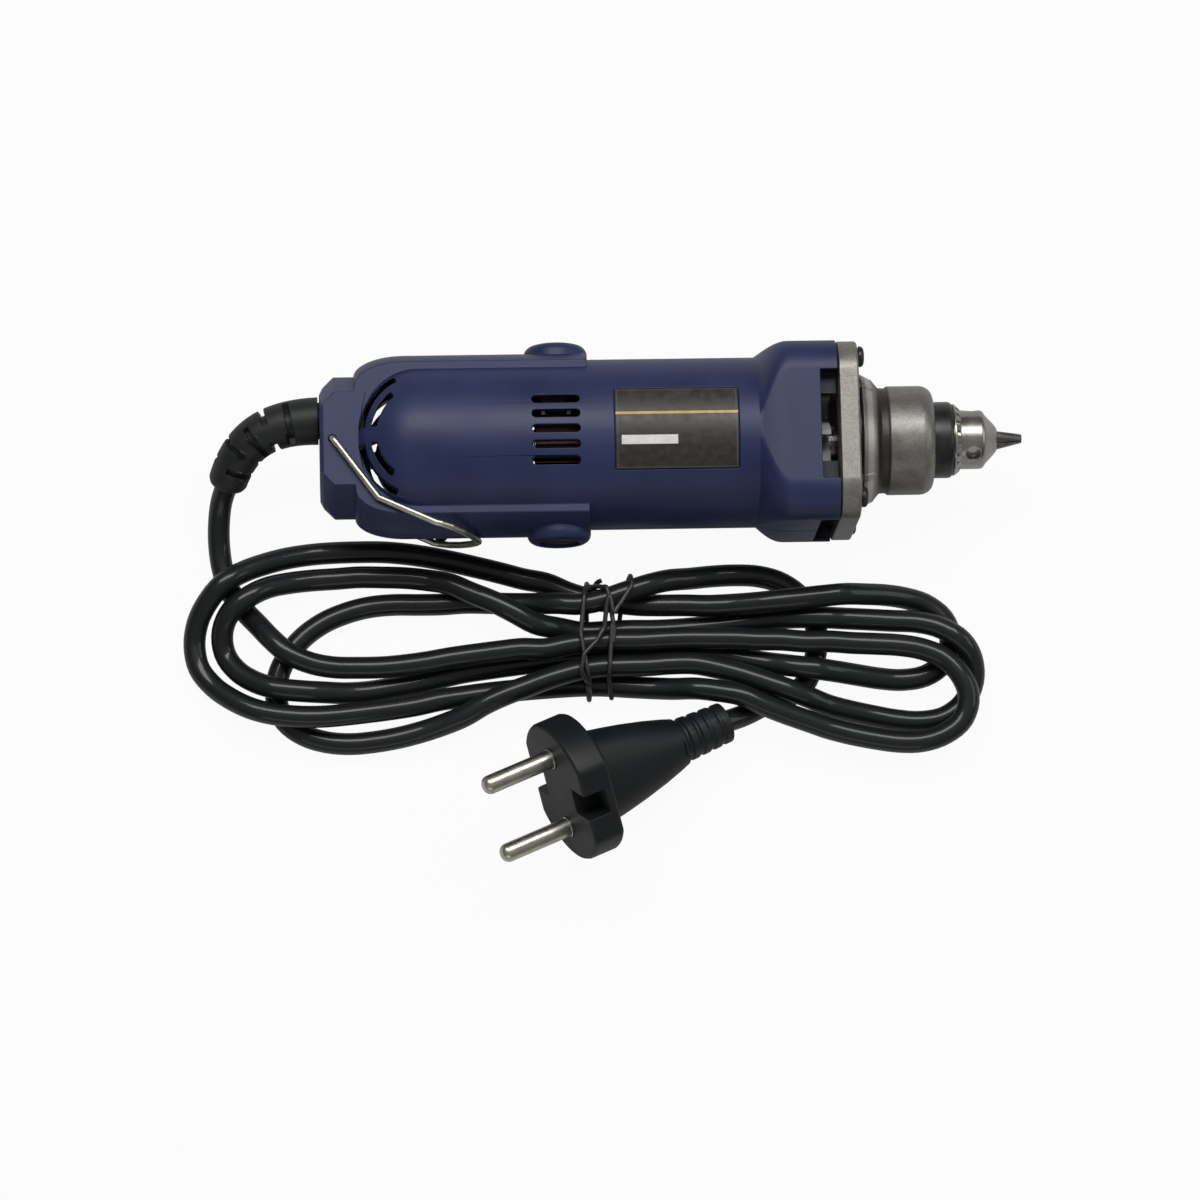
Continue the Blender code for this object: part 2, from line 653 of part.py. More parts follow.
def grip_solid():
    """Flat-sided grip beside the barrel, and the eight-sided block that carries cord and bail."""
    profile = [(BLOCK_X, 0), (BLOCK_X, BLOCK_HALF_WIDTH - GAP)]
    steps = 6
    for k in range(1, steps + 1):
        share = math.sin(k / steps * math.pi / 2)
        lift = 1 - math.cos(k / steps * math.pi / 2)
        profile.append((BLOCK_X + SWELL_LENGTH * lift,
                        BLOCK_HALF_WIDTH + (GRIP_R - BLOCK_HALF_WIDTH) * share))
    profile += [(GRIP_X, GRIP_R), (GRIP_X, 0)]
    far = 2 * GRIP_R
    low = FLAT_Z - BLOCK_EDGE
    side = [(TAIL_X - BLOCK_EDGE, low - BLOCK_EDGE), (TAIL_X + BLOCK_EDGE, FLAT_Z),
            (GRIP_X + OVERRUN, FLAT_Z)]
    side += [(x, -z) for x, z in reversed(side)]
    slab = loft([[along_x(x, y, z) for x, z in side] for y in (-far, far)])
    return combine(join(turned(profile, HOUSING_SIDES), block_solid()), [slab], "INTERSECT")


def block_solid():
    """Tail block, left taller than the flats that are cut on it."""
    rise = FLAT_Z - BLOCK_SIDE_HALF_HEIGHT
    top = FLAT_Z + OVERRUN

    def ring(x, inset):
        side = BLOCK_HALF_WIDTH - inset
        flat = side - (BLOCK_HALF_WIDTH - BLOCK_FLAT_HALF_WIDTH) * (1 + OVERRUN / rise)
        step = BLOCK_SIDE_HALF_HEIGHT
        points = [(side, step), (flat, top), (-flat, top), (-side, step),
                  (-side, -step), (-flat, -top), (flat, -top), (side, -step)]
        return [along_x(x, y, z) for y, z in points]

    return loft([ring(TAIL_X, BLOCK_CORNER + BLOCK_EDGE),
                 ring(TAIL_X + BLOCK_EDGE, BLOCK_CORNER - BLOCK_EDGE),
                 ring(TAIL_X + BLOCK_CORNER, 0), ring(BLOCK_X + OVERRUN, 0)])


def boss_solid():
    """Round boss for a brush cap, on +Y."""
    round_r = BOSS_R - BOSS_FLAT_R
    base = BORE_R - OVERRUN
    profile = [(base, 0), (base, BOSS_R), (BOSS_REACH - round_r, BOSS_R)]
    steps = 3
    for k in range(1, steps + 1):
        angle = k / steps * math.pi / 2
        profile.append((BOSS_REACH - round_r + round_r * math.sin(angle),
                        BOSS_FLAT_R + round_r * math.cos(angle)))
    profile.append((BOSS_REACH, 0))
    return turned(profile, ROUND_SIDES, centre=along_x(BRUSH_X_PLACE, 0, 0),
                  direction=Vector((0, 1, 0)))


def bore_solid():
    """Everything hollow on the axis: domed bore, then the wider fan room."""
    inner_dome = DOME_LENGTH - WALL
    profile = [(DOME_X - inner_dome, 0)]
    for share in DOME_SHARES[1:]:
        profile.append((DOME_X - inner_dome * share, BORE_R * math.sqrt(1 - share ** 2)))
    profile += [(DOME_X, BORE_R), (ROOM_X, BORE_R), (ROOM_X, FAN_ROOM_R),
                (FRONT_X + OVERRUN, FAN_ROOM_R), (FRONT_X + OVERRUN, 0)]
    return turned(profile, HOUSING_SIDES)


def arc_slot(semi, angles):
    """Upright cutter along an ellipse about the dome, widening to ARC_WIDTH."""
    steps = 7
    outer = []
    inner = []
    for k in range(steps + 1):
        angle = angles[0] + (angles[1] - angles[0]) * k / steps
        for offset, side in ((ARC_WIDTH / 2, outer), (-ARC_WIDTH / 2, inner)):
            side.append((DOME_X + (semi[0] + offset) * math.cos(angle),
                         (semi[1] + offset) * math.sin(angle)))
    return prism(outer + inner[::-1], POCKET_HALF_HEIGHT - OVERRUN, BARREL_R + OVERRUN)


def air_cutters():
    cutters = []
    slot_x = BRUSH_X_PLACE - SLOT_LENGTH / 2 - SLOT_BACK
    first = -SLOT_PITCH * (SLOT_COUNT - 1) / 2
    for k in range(SLOT_COUNT):
        y = first + SLOT_PITCH * k
        cutters.append(axis_box(slot_x, slot_x + SLOT_LENGTH, y - SLOT_WIDTH / 2, y + SLOT_WIDTH / 2,
                                BORE_R - 2 * WALL, BARREL_R + OVERRUN))
    for semi, angles in ((OUTER_ARC, OUTER_ARC_ANGLES), (INNER_ARC, INNER_ARC_ANGLES)):
        arc = arc_slot(semi, angles)
        cutters.append(arc)
        cutters.append(flipped(arc, Vector((0, 1, 0))))
    cutters += [flipped(item, Vector((0, 0, 1))) for item in list(cutters)]
    return cutters


def window_cutters():
    """Air windows at the front edge, in all four sides of the head."""
    x0 = FRONT_X - WINDOW_LENGTH
    x1 = FRONT_X + OVERRUN
    inner = FAN_R + GAP
    outer = HEAD_HALF + OVERRUN
    half = WINDOW_HALF_WIDTH
    return [axis_box(x0, x1, -half, half, inner, outer), axis_box(x0, x1, -half, half, -outer, -inner),
            axis_box(x0, x1, inner, outer, -half, half), axis_box(x0, x1, -outer, -inner, -half, half)]


def bearing_seat():
    """Ring and two side webs that hold the rear bearing, shared by both shells."""
    radius, width = REAR_BEARING
    half = width / 2
    x0 = REAR_BEARING_X - half
    ring = tube_ring(x0, x0 + width, radius + GAP, radius + GAP + SEAT_RING)
    reach = BORE_R + WALL / 2
    webs = [axis_box(x0 + GAP, x0 + width - GAP, radius + SEAT_RING, reach, -SEAT_RING, SEAT_RING),
            axis_box(x0 + GAP, x0 + width - GAP, -reach, -radius - SEAT_RING, -SEAT_RING, SEAT_RING)]
    return [ring, *webs]


def shell_screw_places():
    """Where the three shell screws stand: x, y and how far below the axis their heads seat."""
    seat = FLAT_Z - SHELL_HEAD - 2 * GAP
    return [(TAIL_X + SHELL_SCREW_FORWARD, SHELL_SCREW_Y, seat),
            (TAIL_X + SHELL_SCREW_FORWARD, -SHELL_SCREW_Y, seat),
            (TAIL_X + TAIL_SCREW_FORWARD, -TAIL_SCREW_Y, seat)]


def screw_cutters():
    cutters = []
    for x, y, seat in shell_screw_places():
        cutters.append(rod(along_x(x, y, -GRIP_R), along_x(x, y, -seat), SHELL_HEAD_R + GAP))
        tip = SHELL_SCREW_LENGTH - seat + GAP
        cutters.append(rod(along_x(x, y, -seat - OVERRUN), along_x(x, y, tip), SHELL_SCREW_R + GAP))
    depth = SCREW_LENGTH - FLANGE + GAP
    for y, z in flange_corners():
        cutters.append(rod(along_x(FRONT_X - depth, y, z), along_x(FRONT_X + OVERRUN, y, z), SCREW_R + GAP))
    return cutters


def label_sector(inner, outer, grow):
    """A thin curved plate on top of the barrel."""
    x0 = GRIP_X + LABEL_BACK - grow
    half = LABEL_ARC / BARREL_R / 2 + grow / BARREL_R
    steps = 8
    rings = []
    for x in (x0, x0 + LABEL_LENGTH + 2 * grow):
        arc = [math.pi / 2 + half * (1 - 2 * k / steps) for k in range(steps + 1)]
        ring = [along_x(x, outer * math.cos(a), outer * math.sin(a)) for a in arc]
        ring += [along_x(x, inner * math.cos(a), inner * math.sin(a)) for a in reversed(arc)]
        rings.append(ring)
    return loft(rings)


def tail_cutters():
    """Pocket, cord hole and the bail's two blind pivot holes."""
    wall_x = TAIL_X + WALL
    pocket = axis_box(wall_x, DOME_X - DOME_LENGTH / 2, -POCKET_LEFT, POCKET_RIGHT,
                      -POCKET_HALF_HEIGHT, POCKET_HALF_HEIGHT)
    hole = rod(along_x(TAIL_X - OVERRUN, CORD_EXIT_Y, 0), along_x(wall_x + OVERRUN, CORD_EXIT_Y, 0),
               RELIEF_NECK_R + GAP, ROUND_SIDES)
    pivots = []
    for side in (1, -1):
        pivots.append(rod(along_x(PIVOT_X, 0, side * (FLAT_Z - BAIL_PIN - GAP)),
                          along_x(PIVOT_X, 0, side * (FLAT_Z + OVERRUN)), BAIL_WIRE_R + GAP / 2))
    return [pocket, hole, *pivots]


def brush_cutters():
    reach = BOSS_REACH + OVERRUN
    inner = BORE_R - OVERRUN
    return [rod(along_x(BRUSH_X_PLACE, side * inner, 0), along_x(BRUSH_X_PLACE, side * reach, 0),
                BRUSH_BORE_R, ROUND_SIDES) for side in (1, -1)]


def switch_cutters():
    """Opening for the switch and the flat that its bezel seats on, then the dial's slot."""
    half = SWITCH_LENGTH / 2
    wide = SWITCH_WIDTH / 2
    flat = BARREL_R - BEZEL + BEZEL_DROP - GAP
    low = BARREL_R + OVERRUN
    opening = axis_box(SWITCH_X - half - GAP, SWITCH_X + half + GAP, -wide - GAP, wide + GAP,
                       -low, -BORE_R + WALL)
    rim = BEZEL_RIM + GAP
    seat = axis_box(SWITCH_X - half - rim, SWITCH_X + half + rim, -wide - rim, wide + rim, -low, -flat)
    slot_r = DIAL_R + DIAL_ROOM
    slot_y = DIAL_WIDTH / 2 + DIAL_ROOM
    slot = rod(along_x(DIAL_X, -slot_y, DIAL_Z), along_x(DIAL_X, slot_y, DIAL_Z), slot_r, ROUND_SIDES)
    return [opening, seat, slot]


def board_rest():
    """Rib in the lower shell under the front of the control board."""
    x0, y0 = board_corner()
    x = x0 + BOARD_LENGTH - 3 * BLADE
    return axis_box(x, x + 2 * BLADE, y0, y0 + BOARD_THICK, -BORE_R - WALL / 3, -BOARD_BOTTOM - GAP)


def board_corner():
    x0 = DIAL_X - BOARD_LENGTH / 2 - BLADE
    y0 = DIAL_WIDTH / 2 + GAP + POT_LENGTH
    return x0, y0


def housing_shells():
    boss = boss_solid()
    other_boss = flipped(boss, Vector((0, 1, 0)))
    whole = join(barrel_solid(), grip_solid(), boss, other_boss)
    cut(whole, bore_solid())
    join(whole, *bearing_seat(), board_rest())
    label_bed = label_sector(BARREL_R - LABEL_SINK, BARREL_R + OVERRUN, GAP)
    cut(whole, *tail_cutters(), *brush_cutters(), *switch_cutters(), *window_cutters(),
        *air_cutters(), *screw_cutters(), label_bed)
    upper = whole
    lower = copy_of(whole)
    far = 2 * HEAD_HALF
    ends = (TAIL_X - far, FRONT_X + far)
    cut(upper, axis_box(*ends, -far, far, -far, SEAM / 2))
    cut(lower, axis_box(*ends, -far, far, -SEAM / 2, far))
    return [finish(upper, "housing_upper", "housing"), finish(lower, "housing_lower", "housing")]


def slotted_screw(seat, direction, head_r, head, radius, length):
    """A pan-head screw whose head seats at a point, its shank running along a direction."""
    profile = [(-head, 0), (-head, head_r * 0.7), (-head * 0.45, head_r), (0, head_r), (0, radius),
               (length - radius, radius), (length, radius * 0.25), (length, 0)]
    made = turned(profile, SMALL_SIDES, centre=seat, direction=direction)
    return made


def shell_screws():
    for number, (x, y, seat) in enumerate(shell_screw_places()):
        made = slotted_screw(along_x(x, y, -seat - GAP), Vector((0, 0, 1)), SHELL_HEAD_R, SHELL_HEAD,
                             SHELL_SCREW_R, SHELL_SCREW_LENGTH)
        finish(made, "housing_screw_%d" % (number + 1), "dark_steel")


def nose_screws():
    for number, (y, z) in enumerate(flange_corners()):
        made = slotted_screw(along_x(COLLAR_X + GAP, y, z), Vector((-1, 0, 0)), SCREW_HEAD_R, SCREW_HEAD,
                             SCREW_R, SCREW_LENGTH)
        finish(made, "nose_screw_%d" % (number + 1), "dark_steel")


def flange_corners():
    return [(y * SCREW_PLACE, z * SCREW_PLACE) for y in (-1, 1) for z in (-1, 1)]


def nose_casting():
    half = HEAD_HALF - FLANGE_INSET
    flange = loft([square_ring(FLANGE_X, half, HEAD_CORNER_R), square_ring(COLLAR_X, half, HEAD_CORNER_R)])
    groove_x = COLLAR_X + GROOVE[0]
    collar_x = NOSE_X
    profile = [(FLANGE_X + FLANGE / 2, 0), (FLANGE_X + FLANGE / 2, GROOVE[1]), (groove_x, GROOVE[1]),
               (groove_x, COLLAR_R[0]), (collar_x - COLLAR_LENGTH / 3, COLLAR_R[1]), (collar_x, NOSE_R)]
    steps = 4
    round_x = NOSE_FRONT_X - NOSE_ROUND
    for k in range(steps + 1):
        angle = k / steps * math.pi / 2
        profile.append((round_x + NOSE_ROUND * math.sin(angle),
                        NOSE_LIP_R + (NOSE_R - NOSE_LIP_R) * math.cos(angle)))
    profile.append((NOSE_FRONT_X, 0))
    ribs = []
    for k in range(4):
        angle = (k + 0.5) * math.pi / 2
        rib = box((COLLAR_X - OVERRUN, GROOVE[1] - OVERRUN, -GUSSET / 2),
                  (NOSE_X - COLLAR_LENGTH / 3, COLLAR_R[0], GUSSET / 2))
        ribs.append(moved(rib, Matrix.Translation(AXIS) @ Matrix.Rotation(angle, 4, "X")))
    body = join(flange, turned(profile, HOUSING_SIDES), *ribs)
    radius, width = FRONT_BEARING
    seat_x = FRONT_BEARING_X + width + 2 * GAP
    hollow = [(FLANGE_X - OVERRUN, 0), (FLANGE_X - OVERRUN, BAFFLE_BORE_R + WALL),
              (FLANGE_X + FLANGE, radius + GAP), (seat_x, radius + GAP), (seat_x, SHAFT_HOLE_R),
              (SLEEVE_X - NOSE_WEB / 2, SHAFT_HOLE_R), (SLEEVE_X - NOSE_WEB / 2, SLEEVE_R + SLEEVE_ROOM),
              (NOSE_FRONT_X + OVERRUN, SLEEVE_R + SLEEVE_ROOM), (NOSE_FRONT_X + OVERRUN, 0)]
    holes = [turned(hollow, HOUSING_SIDES)]
    for y, z in flange_corners():
        holes.append(rod(along_x(FLANGE_X - OVERRUN, y, z), along_x(COLLAR_X + OVERRUN, y, z), SCREW_R + GAP))
    cut(body, *holes)
    return finish(body, "nose_casting", "casting")


def bearing(name, centre_x, size, bore):
    """Outer ring in the seat, inner ring on the shaft."""
    radius, width = size
    x0 = centre_x - width / 2
    x1 = centre_x + width / 2
    inner_r = bore + RACE
    outer = tube_ring(x0, x1, inner_r + GAP, radius)
    inner = tube_ring(x0, x1, bore, inner_r)
    return [finish(outer, name + "_outer_ring", "steel"),
            finish(inner, name + "_inner_ring", "steel", AXIS)]


def stator_core():
    """Laminated yoke with two pole shoes, above and below the armature."""
    x0 = STATOR_X
    x1 = STATOR_X + STATOR_LENGTH
    yoke = tube_ring(x0, x1, STATOR_R - STATOR_YOKE, STATOR_R, HOUSING_SIDES)
    steps = 10
    poles = []
    for side in (1, -1):
        rings = []
        for x in (x0, x1):
            arc = [side * math.pi / 2 + POLE_ANGLE * (1 - 2 * k / steps) for k in range(steps + 1)]
            shoe = STATOR_BORE_R + POLE_SHOE
            ring = [along_x(x, shoe * math.cos(a), shoe * math.sin(a)) for a in arc]
            ring += [along_x(x, STATOR_BORE_R * math.cos(a), STATOR_BORE_R * math.sin(a))
                     for a in reversed(arc)]
            rings.append(ring)
        inner = STATOR_BORE_R + POLE_SHOE / 2
        outer = STATOR_R - STATOR_YOKE / 2
        neck = axis_box(x0 + GAP / 2, x1 - GAP / 2, -POLE_WIDTH / 2, POLE_WIDTH / 2,
                        min(side * inner, side * outer), max(side * inner, side * outer))
        poles += [loft(rings), neck]
    join(yoke, *poles)
    return finish(yoke, "stator_core", "lamination")


def field_coils():
    """Two flat closed coils, round the necks of the poles and between their shoes and the yoke."""
    inner_y = POLE_WIDTH / 2 + 2 * GAP
    low = math.sqrt((STATOR_BORE_R + POLE_SHOE) ** 2 - inner_y ** 2) + GAP
    half_x = STATOR_LENGTH / 2 + COIL_OVERHANG - COIL_WIDE / 2
    half_y = inner_y + COIL_WIDE / 2
    middle = STATOR_X + STATOR_LENGTH / 2
    corner = COIL_WIDE * 0.7
    path = []
    per_corner = 6
    for k, (sx, sy) in enumerate(((1, 1), (-1, 1), (-1, -1), (1, -1))):
        for j in range(per_corner):
            angle = (k + j / (per_corner - 1)) * math.pi / 2
            path.append((sx * (half_x - corner) + corner * math.cos(angle),
                         sy * (half_y - corner) + corner * math.sin(angle)))
    count = len(path)
    rings = []
    for k, (x, y) in enumerate(path):
        before = path[k - 1]
        after = path[(k + 1) % count]
        run = Vector((after[0] - before[0], after[1] - before[1])).normalized()
        across = Vector((run.y, -run.x)) * COIL_WIDE / 2
        rings.append([along_x(middle + x + across.x * u, y + across.y * u, low + v * COIL_THICK)
                      for u, v in ((-1, 0), (1, 0), (1, 1), (-1, 1))])
    upper = loft(rings, closed_loop=True)
    lower = flipped(upper, Vector((0, 0, 1)))
    return [finish(upper, "field_coil_upper", "copper"), finish(lower, "field_coil_lower", "copper")]


def armature():
    x0 = STATOR_X
    x1 = STATOR_X + STATOR_LENGTH
    bore = SHAFT_R + GAP
    rings = []
    for x in (x0, x1):
        ring = []
        for k in range(ARMATURE_SLOTS):
            start = 2 * math.pi * k / ARMATURE_SLOTS
            pitch = 2 * math.pi / ARMATURE_SLOTS
            for share, r in ((0.06, ARMATURE_R), (0.37, ARMATURE_R), (0.7, ARMATURE_R),
                             (0.76, ARMATURE_R - SLOT_DEPTH), (0.98, ARMATURE_R - SLOT_DEPTH)):
                a = start + pitch * share
                ring.append(along_x(x, r * math.cos(a), r * math.sin(a)))
        rings.append(ring)
    core = loft(rings)
    cut(core, rod(along_x(x0 - OVERRUN, 0, 0), along_x(x1 + OVERRUN, 0, 0), bore, ROUND_SIDES))
    wind_r = ARMATURE_R - GAP
    inner = SHAFT_R + GAP
    swell = END_TURN / 4
    rear = x0 - GAP
    front = x1 + GAP
    ends = []
    for x, way in ((rear, -1), (front, 1)):
        profile = [(x, inner), (x, wind_r), (x + way * swell, wind_r),
                   (x + way * (END_TURN - swell), wind_r - swell), (x + way * END_TURN, wind_r - 2 * swell),
                   (x + way * END_TURN, inner)]
        ends.append(turned(profile, ring=True))
    return [finish(core, "armature_core", "lamination", AXIS),
            finish(ends[0], "armature_winding_rear", "copper", AXIS),
            finish(ends[1], "armature_winding_front", "copper", AXIS)]


def commutator():
    rings = []
    for x in (COMMUTATOR_X, COMMUTATOR_X + COMMUTATOR_LENGTH):
        ring = []
        for k in range(COMMUTATOR_BARS):
            pitch = 2 * math.pi / COMMUTATOR_BARS
            for share, r in ((0.1, COMMUTATOR_R), (0.9, COMMUTATOR_R), (1.0, COMMUTATOR_R - GAP)):
                a = pitch * (k + share)
                ring.append(along_x(x, r * math.cos(a), r * math.sin(a)))
        rings.append(ring)
    drum = loft(rings)
    cut(drum, rod(along_x(COMMUTATOR_X - OVERRUN, 0, 0),
                  along_x(COMMUTATOR_X + COMMUTATOR_LENGTH + OVERRUN, 0, 0), SHAFT_R + GAP, ROUND_SIDES))
    return finish(drum, "commutator", "copper", AXIS)


def armature_shaft():
    rear_r = JOURNAL_R
    rear_half = REAR_BEARING[1] / 2
    shoulder = REAR_BEARING_X + rear_half + GAP
    nose_shoulder = FRONT_BEARING_X + FRONT_BEARING[1] + 2 * GAP
    profile = [(REAR_BEARING_X - rear_half - GAP, 0), (REAR_BEARING_X - rear_half - GAP, rear_r),
               (shoulder, rear_r), (shoulder, SHAFT_R), (nose_shoulder, SHAFT_R),
               (nose_shoulder + GAP, SPINDLE_R), (SLEEVE_X + SPINDLE_LENGTH - 2 * GAP, SPINDLE_R),
               (SLEEVE_X + SPINDLE_LENGTH - 2 * GAP, 0)]
    return finish(turned(profile), "armature_shaft", "steel", AXIS)


def fan():
    """Radial fan: disc, hub and swept blades."""
    x0 = ROOM_X + GAP + BAFFLE_LENGTH + 4 * GAP
    hub = tube_ring(x0, x0 + FAN_DEPTH, SHAFT_R + GAP, FAN_HUB_R)
    disc = tube_ring(x0, x0 + FAN_DISC, FAN_HUB_R - BLADE / 2, FAN_R)
    blades = []
    steps = 3
    for k in range(FAN_BLADES):
        turn = 2 * math.pi * k / FAN_BLADES
        left = []
        right = []
        for s in range(steps + 1):
            share = s / steps
            r = FAN_HUB_R - BLADE / 3 + (FAN_R - BLADE / 3 - FAN_HUB_R + BLADE / 3) * share
            sweep = turn + 0.5 * share
            half = BLADE / 2 / r
            left.append((r * math.cos(sweep + half), r * math.sin(sweep + half)))
            right.append((r * math.cos(sweep - half), r * math.sin(sweep - half)))
        outline = left + right[::-1]
        rings = [[along_x(x, y, z) for y, z in outline]
                 for x in (x0 + FAN_DISC / 2, x0 + FAN_DEPTH - GAP)]
        blades.append(loft(rings))
    return finish(join(hub, disc, *blades), "cooling_fan", "fan", AXIS)


def baffle():
    x0 = ROOM_X + GAP
    profile = [(x0, BAFFLE_BORE_R), (x0, FAN_ROOM_R - GAP), (x0 + BAFFLE_LENGTH, FAN_ROOM_R - GAP),
               (x0 + BAFFLE_LENGTH, FAN_ROOM_R - WALL / 2), (x0 + BLADE, FAN_ROOM_R - WALL),
               (x0 + BLADE, BAFFLE_BORE_R)]
    return finish(turned(profile, ring=True), "air_baffle", "black")


def brush_gear(name, side):
    """Cap, holder, spring and carbon brush on one side of the commutator."""
    x = BRUSH_X_PLACE
    cap_out = BOSS_REACH - CAP_RECESS
    cap_in = cap_out - CAP_LENGTH
    cap_r = BRUSH_BORE_R - GAP
    cap = rod(along_x(x, side * cap_in, 0), along_x(x, side * cap_out, 0), cap_r, ROUND_SIDES)
    width, depth = CAP_SLOT
    near = side * (cap_out - depth)
    far = side * (cap_out + OVERRUN)
    cut(cap, axis_box(x - cap_r - OVERRUN, x + cap_r + OVERRUN, min(near, far), max(near, far),
                      -width / 2, width / 2))
    half_x = BRUSH_X / 2
    half_z = BRUSH_Z / 2
    holder_end = cap_in - GAP
    span = sorted((side * HOLDER_START, side * holder_end))
    wall_x = half_x + GAP + HOLDER_WALL
    wall_z = half_z + GAP + HOLDER_WALL
    holder = axis_box(x - wall_x, x + wall_x, span[0], span[1], -wall_z, wall_z)
    cut(holder, axis_box(x - half_x - GAP, x + half_x + GAP, span[0] - OVERRUN, span[1] + OVERRUN,
                         -half_z - GAP, half_z + GAP))
    start = COMMUTATOR_R + GAP
    ends = sorted((side * start, side * (start + BRUSH_LENGTH)))
    brush = axis_box(x - half_x, x + half_x, ends[0], ends[1], -half_z, half_z)
    spring = coil_spring(along_x(x, side * (start + BRUSH_LENGTH + GAP + SPRING_WIRE_R), 0),
                         side * (holder_end - start - BRUSH_LENGTH - GAP - 2 * SPRING_WIRE_R))
    return [finish(cap, "brush_cap_" + name, "black"), finish(holder, "brush_holder_" + name, "brass"),
            finish(brush, "carbon_brush_" + name, "carbon"),
            finish(spring, "brush_spring_" + name, "steel")]


def coil_spring(start, length):
    """Compression spring along Y, one unbroken wire."""
    radius = BRUSH_Z / 2 - SPRING_WIRE_R
    per_turn = 6
    count = SPRING_TURNS * per_turn
    path = []
    for k in range(count + 1):
        angle = 2 * math.pi * k / per_turn
        path.append(start + Vector((radius * math.cos(angle), length * k / count, radius * math.sin(angle))))
    return tube(path, SPRING_WIRE_R, 1)


def tube(path, radius, resolution, name="tube"):
    """A round tube along points, with closed ends."""
    data = bpy.data.curves.new(name, "CURVE")
    data.dimensions = "3D"
    data.bevel_depth = radius
    data.bevel_resolution = resolution
    data.use_fill_caps = True
    line = data.splines.new("POLY")
    line.points.add(len(path) - 1)
    for spot, point in zip(line.points, path):
        spot.co = (*point, 1)
    item = bpy.data.objects.new(name, data)
    bpy.context.scene.collection.objects.link(item)
    bpy.context.view_layer.update()
    mesh = bpy.data.meshes.new_from_object(item.evaluated_get(bpy.context.evaluated_depsgraph_get()))
    bpy.data.objects.remove(item, do_unlink=True)
    made = bpy.data.objects.new(name, mesh)
    bpy.context.scene.collection.objects.link(made)
    return made


def chuck_parts():
    back_x = SLEEVE_X + 2 * GAP
    shoulder_x = CHUCK_FRONT_X - CHUCK_SHOULDER
    nut_room = (NUT_X - GAP, NUT_FRONT_X + GAP)
    core_r = jaw_outer(NUT_FRONT_X)
    profile = [(back_x, 0), (back_x, CHUCK_BACK_R), (nut_room[0], CHUCK_BACK_R), (nut_room[0], core_r),
               (nut_room[1], core_r), (nut_room[1], CHUCK_R), (shoulder_x, CHUCK_R),
               (shoulder_x + CHUCK_SHOULDER * 0.15, CHUCK_R * 0.94),
               (shoulder_x + CHUCK_SHOULDER * 0.3, CHUCK_R * 0.8),
               (shoulder_x + CHUCK_SHOULDER * 0.86, CHUCK_R * 0.52), (CHUCK_FRONT_X, CHUCK_NOSE_R),
               (CHUCK_FRONT_X, 0)]
    body = turned(profile, HOUSING_SIDES)
    seat_x = SLEEVE_X + SPINDLE_LENGTH
    holes = [rod(along_x(back_x - OVERRUN, 0, 0), along_x(seat_x, 0, 0), SPINDLE_R + GAP),
             rod(along_x(seat_x - OVERRUN, 0, 0), along_x(CHUCK_FRONT_X + OVERRUN, 0, 0), DRILL_HOLE_R)]
    for k in range(3):
        start, way = jaw_line(k)
        holes.append(rod(start - way * OVERRUN, start + way * (JAW_LENGTH + JAW_TRAVEL + 4 * OVERRUN),
                         JAW_R + GAP))
        angle = KEY_HOLE_ANGLE + k * 2 * math.pi / 3
        out = Vector((0, math.cos(angle), math.sin(angle)))
        centre = along_x(SLEEVE_FRONT_X + KEY_HOLE_FORWARD, 0, 0)
        holes.append(rod(centre + out * (CHUCK_R - KEY_HOLE_DEPTH), centre + out * (CHUCK_R + OVERRUN),
                         KEY_HOLE_R))
    cut(body, *holes)
    pieces = [finish(body, "chuck_body", "steel", AXIS)]
    wall_r = SLEEVE_R - SLEEVE_WALL
    sleeve = turned([(SLEEVE_X, wall_r), (SLEEVE_X, SLEEVE_R - GAP), (SLEEVE_X + GAP, SLEEVE_R),
                     (SLEEVE_FRONT_X - SLEEVE_WALL, SLEEVE_R), (SLEEVE_FRONT_X, SLEEVE_FRONT_R),
                     (SLEEVE_FRONT_X, wall_r)], HOUSING_SIDES, ring=True)
    pieces.append(finish(sleeve, "chuck_sleeve", "dark_steel", AXIS))
    gear_x = SLEEVE_FRONT_X + GAP
    gear = turned([(gear_x, CHUCK_R + GAP), (gear_x, GEAR_R[0]), (gear_x + GEAR_LENGTH / 4, GEAR_R[0]),
                   (gear_x + GEAR_LENGTH, GEAR_R[1]), (gear_x + GEAR_LENGTH, CHUCK_R + GAP)],
                  HOUSING_SIDES, ring=True)
    tooth = 2 * math.pi * GEAR_R[0] / GEAR_TEETH / 4
    notches = []
    for k in range(GEAR_TEETH):
        notch = box((gear_x + GEAR_LENGTH / 3, CHUCK_R + 2 * GAP, -tooth),
                    (gear_x + 2 * GEAR_LENGTH, GEAR_R[0] + GAP, tooth))
        turn = Matrix.Rotation(2 * math.pi * k / GEAR_TEETH, 4, "X")
        notches.append(moved(notch, Matrix.Translation(AXIS) @ turn))
    cut(gear, group(*notches))
    pieces.append(finish(gear, "chuck_gear_ring", "steel", AXIS))
    pieces += jaw_nut()
    return pieces


def jaw_outer(x):
    """Radius, at a station, of the circle that the jaws' backs touch."""
    return (JAW_CROSS_X - x) * math.tan(JAW_ANGLE) + JAW_R / math.cos(JAW_ANGLE)


def jaw_line(k):
    """A jaw's front end and the direction in which it opens, back and outward."""
    angle = KEY_HOLE_ANGLE + math.pi / 3 + k * 2 * math.pi / 3
    out = Vector((0, math.cos(angle), math.sin(angle)))
    way = Vector((-math.cos(JAW_ANGLE), 0, 0)) + out * math.sin(JAW_ANGLE)
    start = along_x(JAW_CROSS_X, 0, 0) - way * (JAW_CROSS + GAP) / math.cos(JAW_ANGLE)
    return start, way


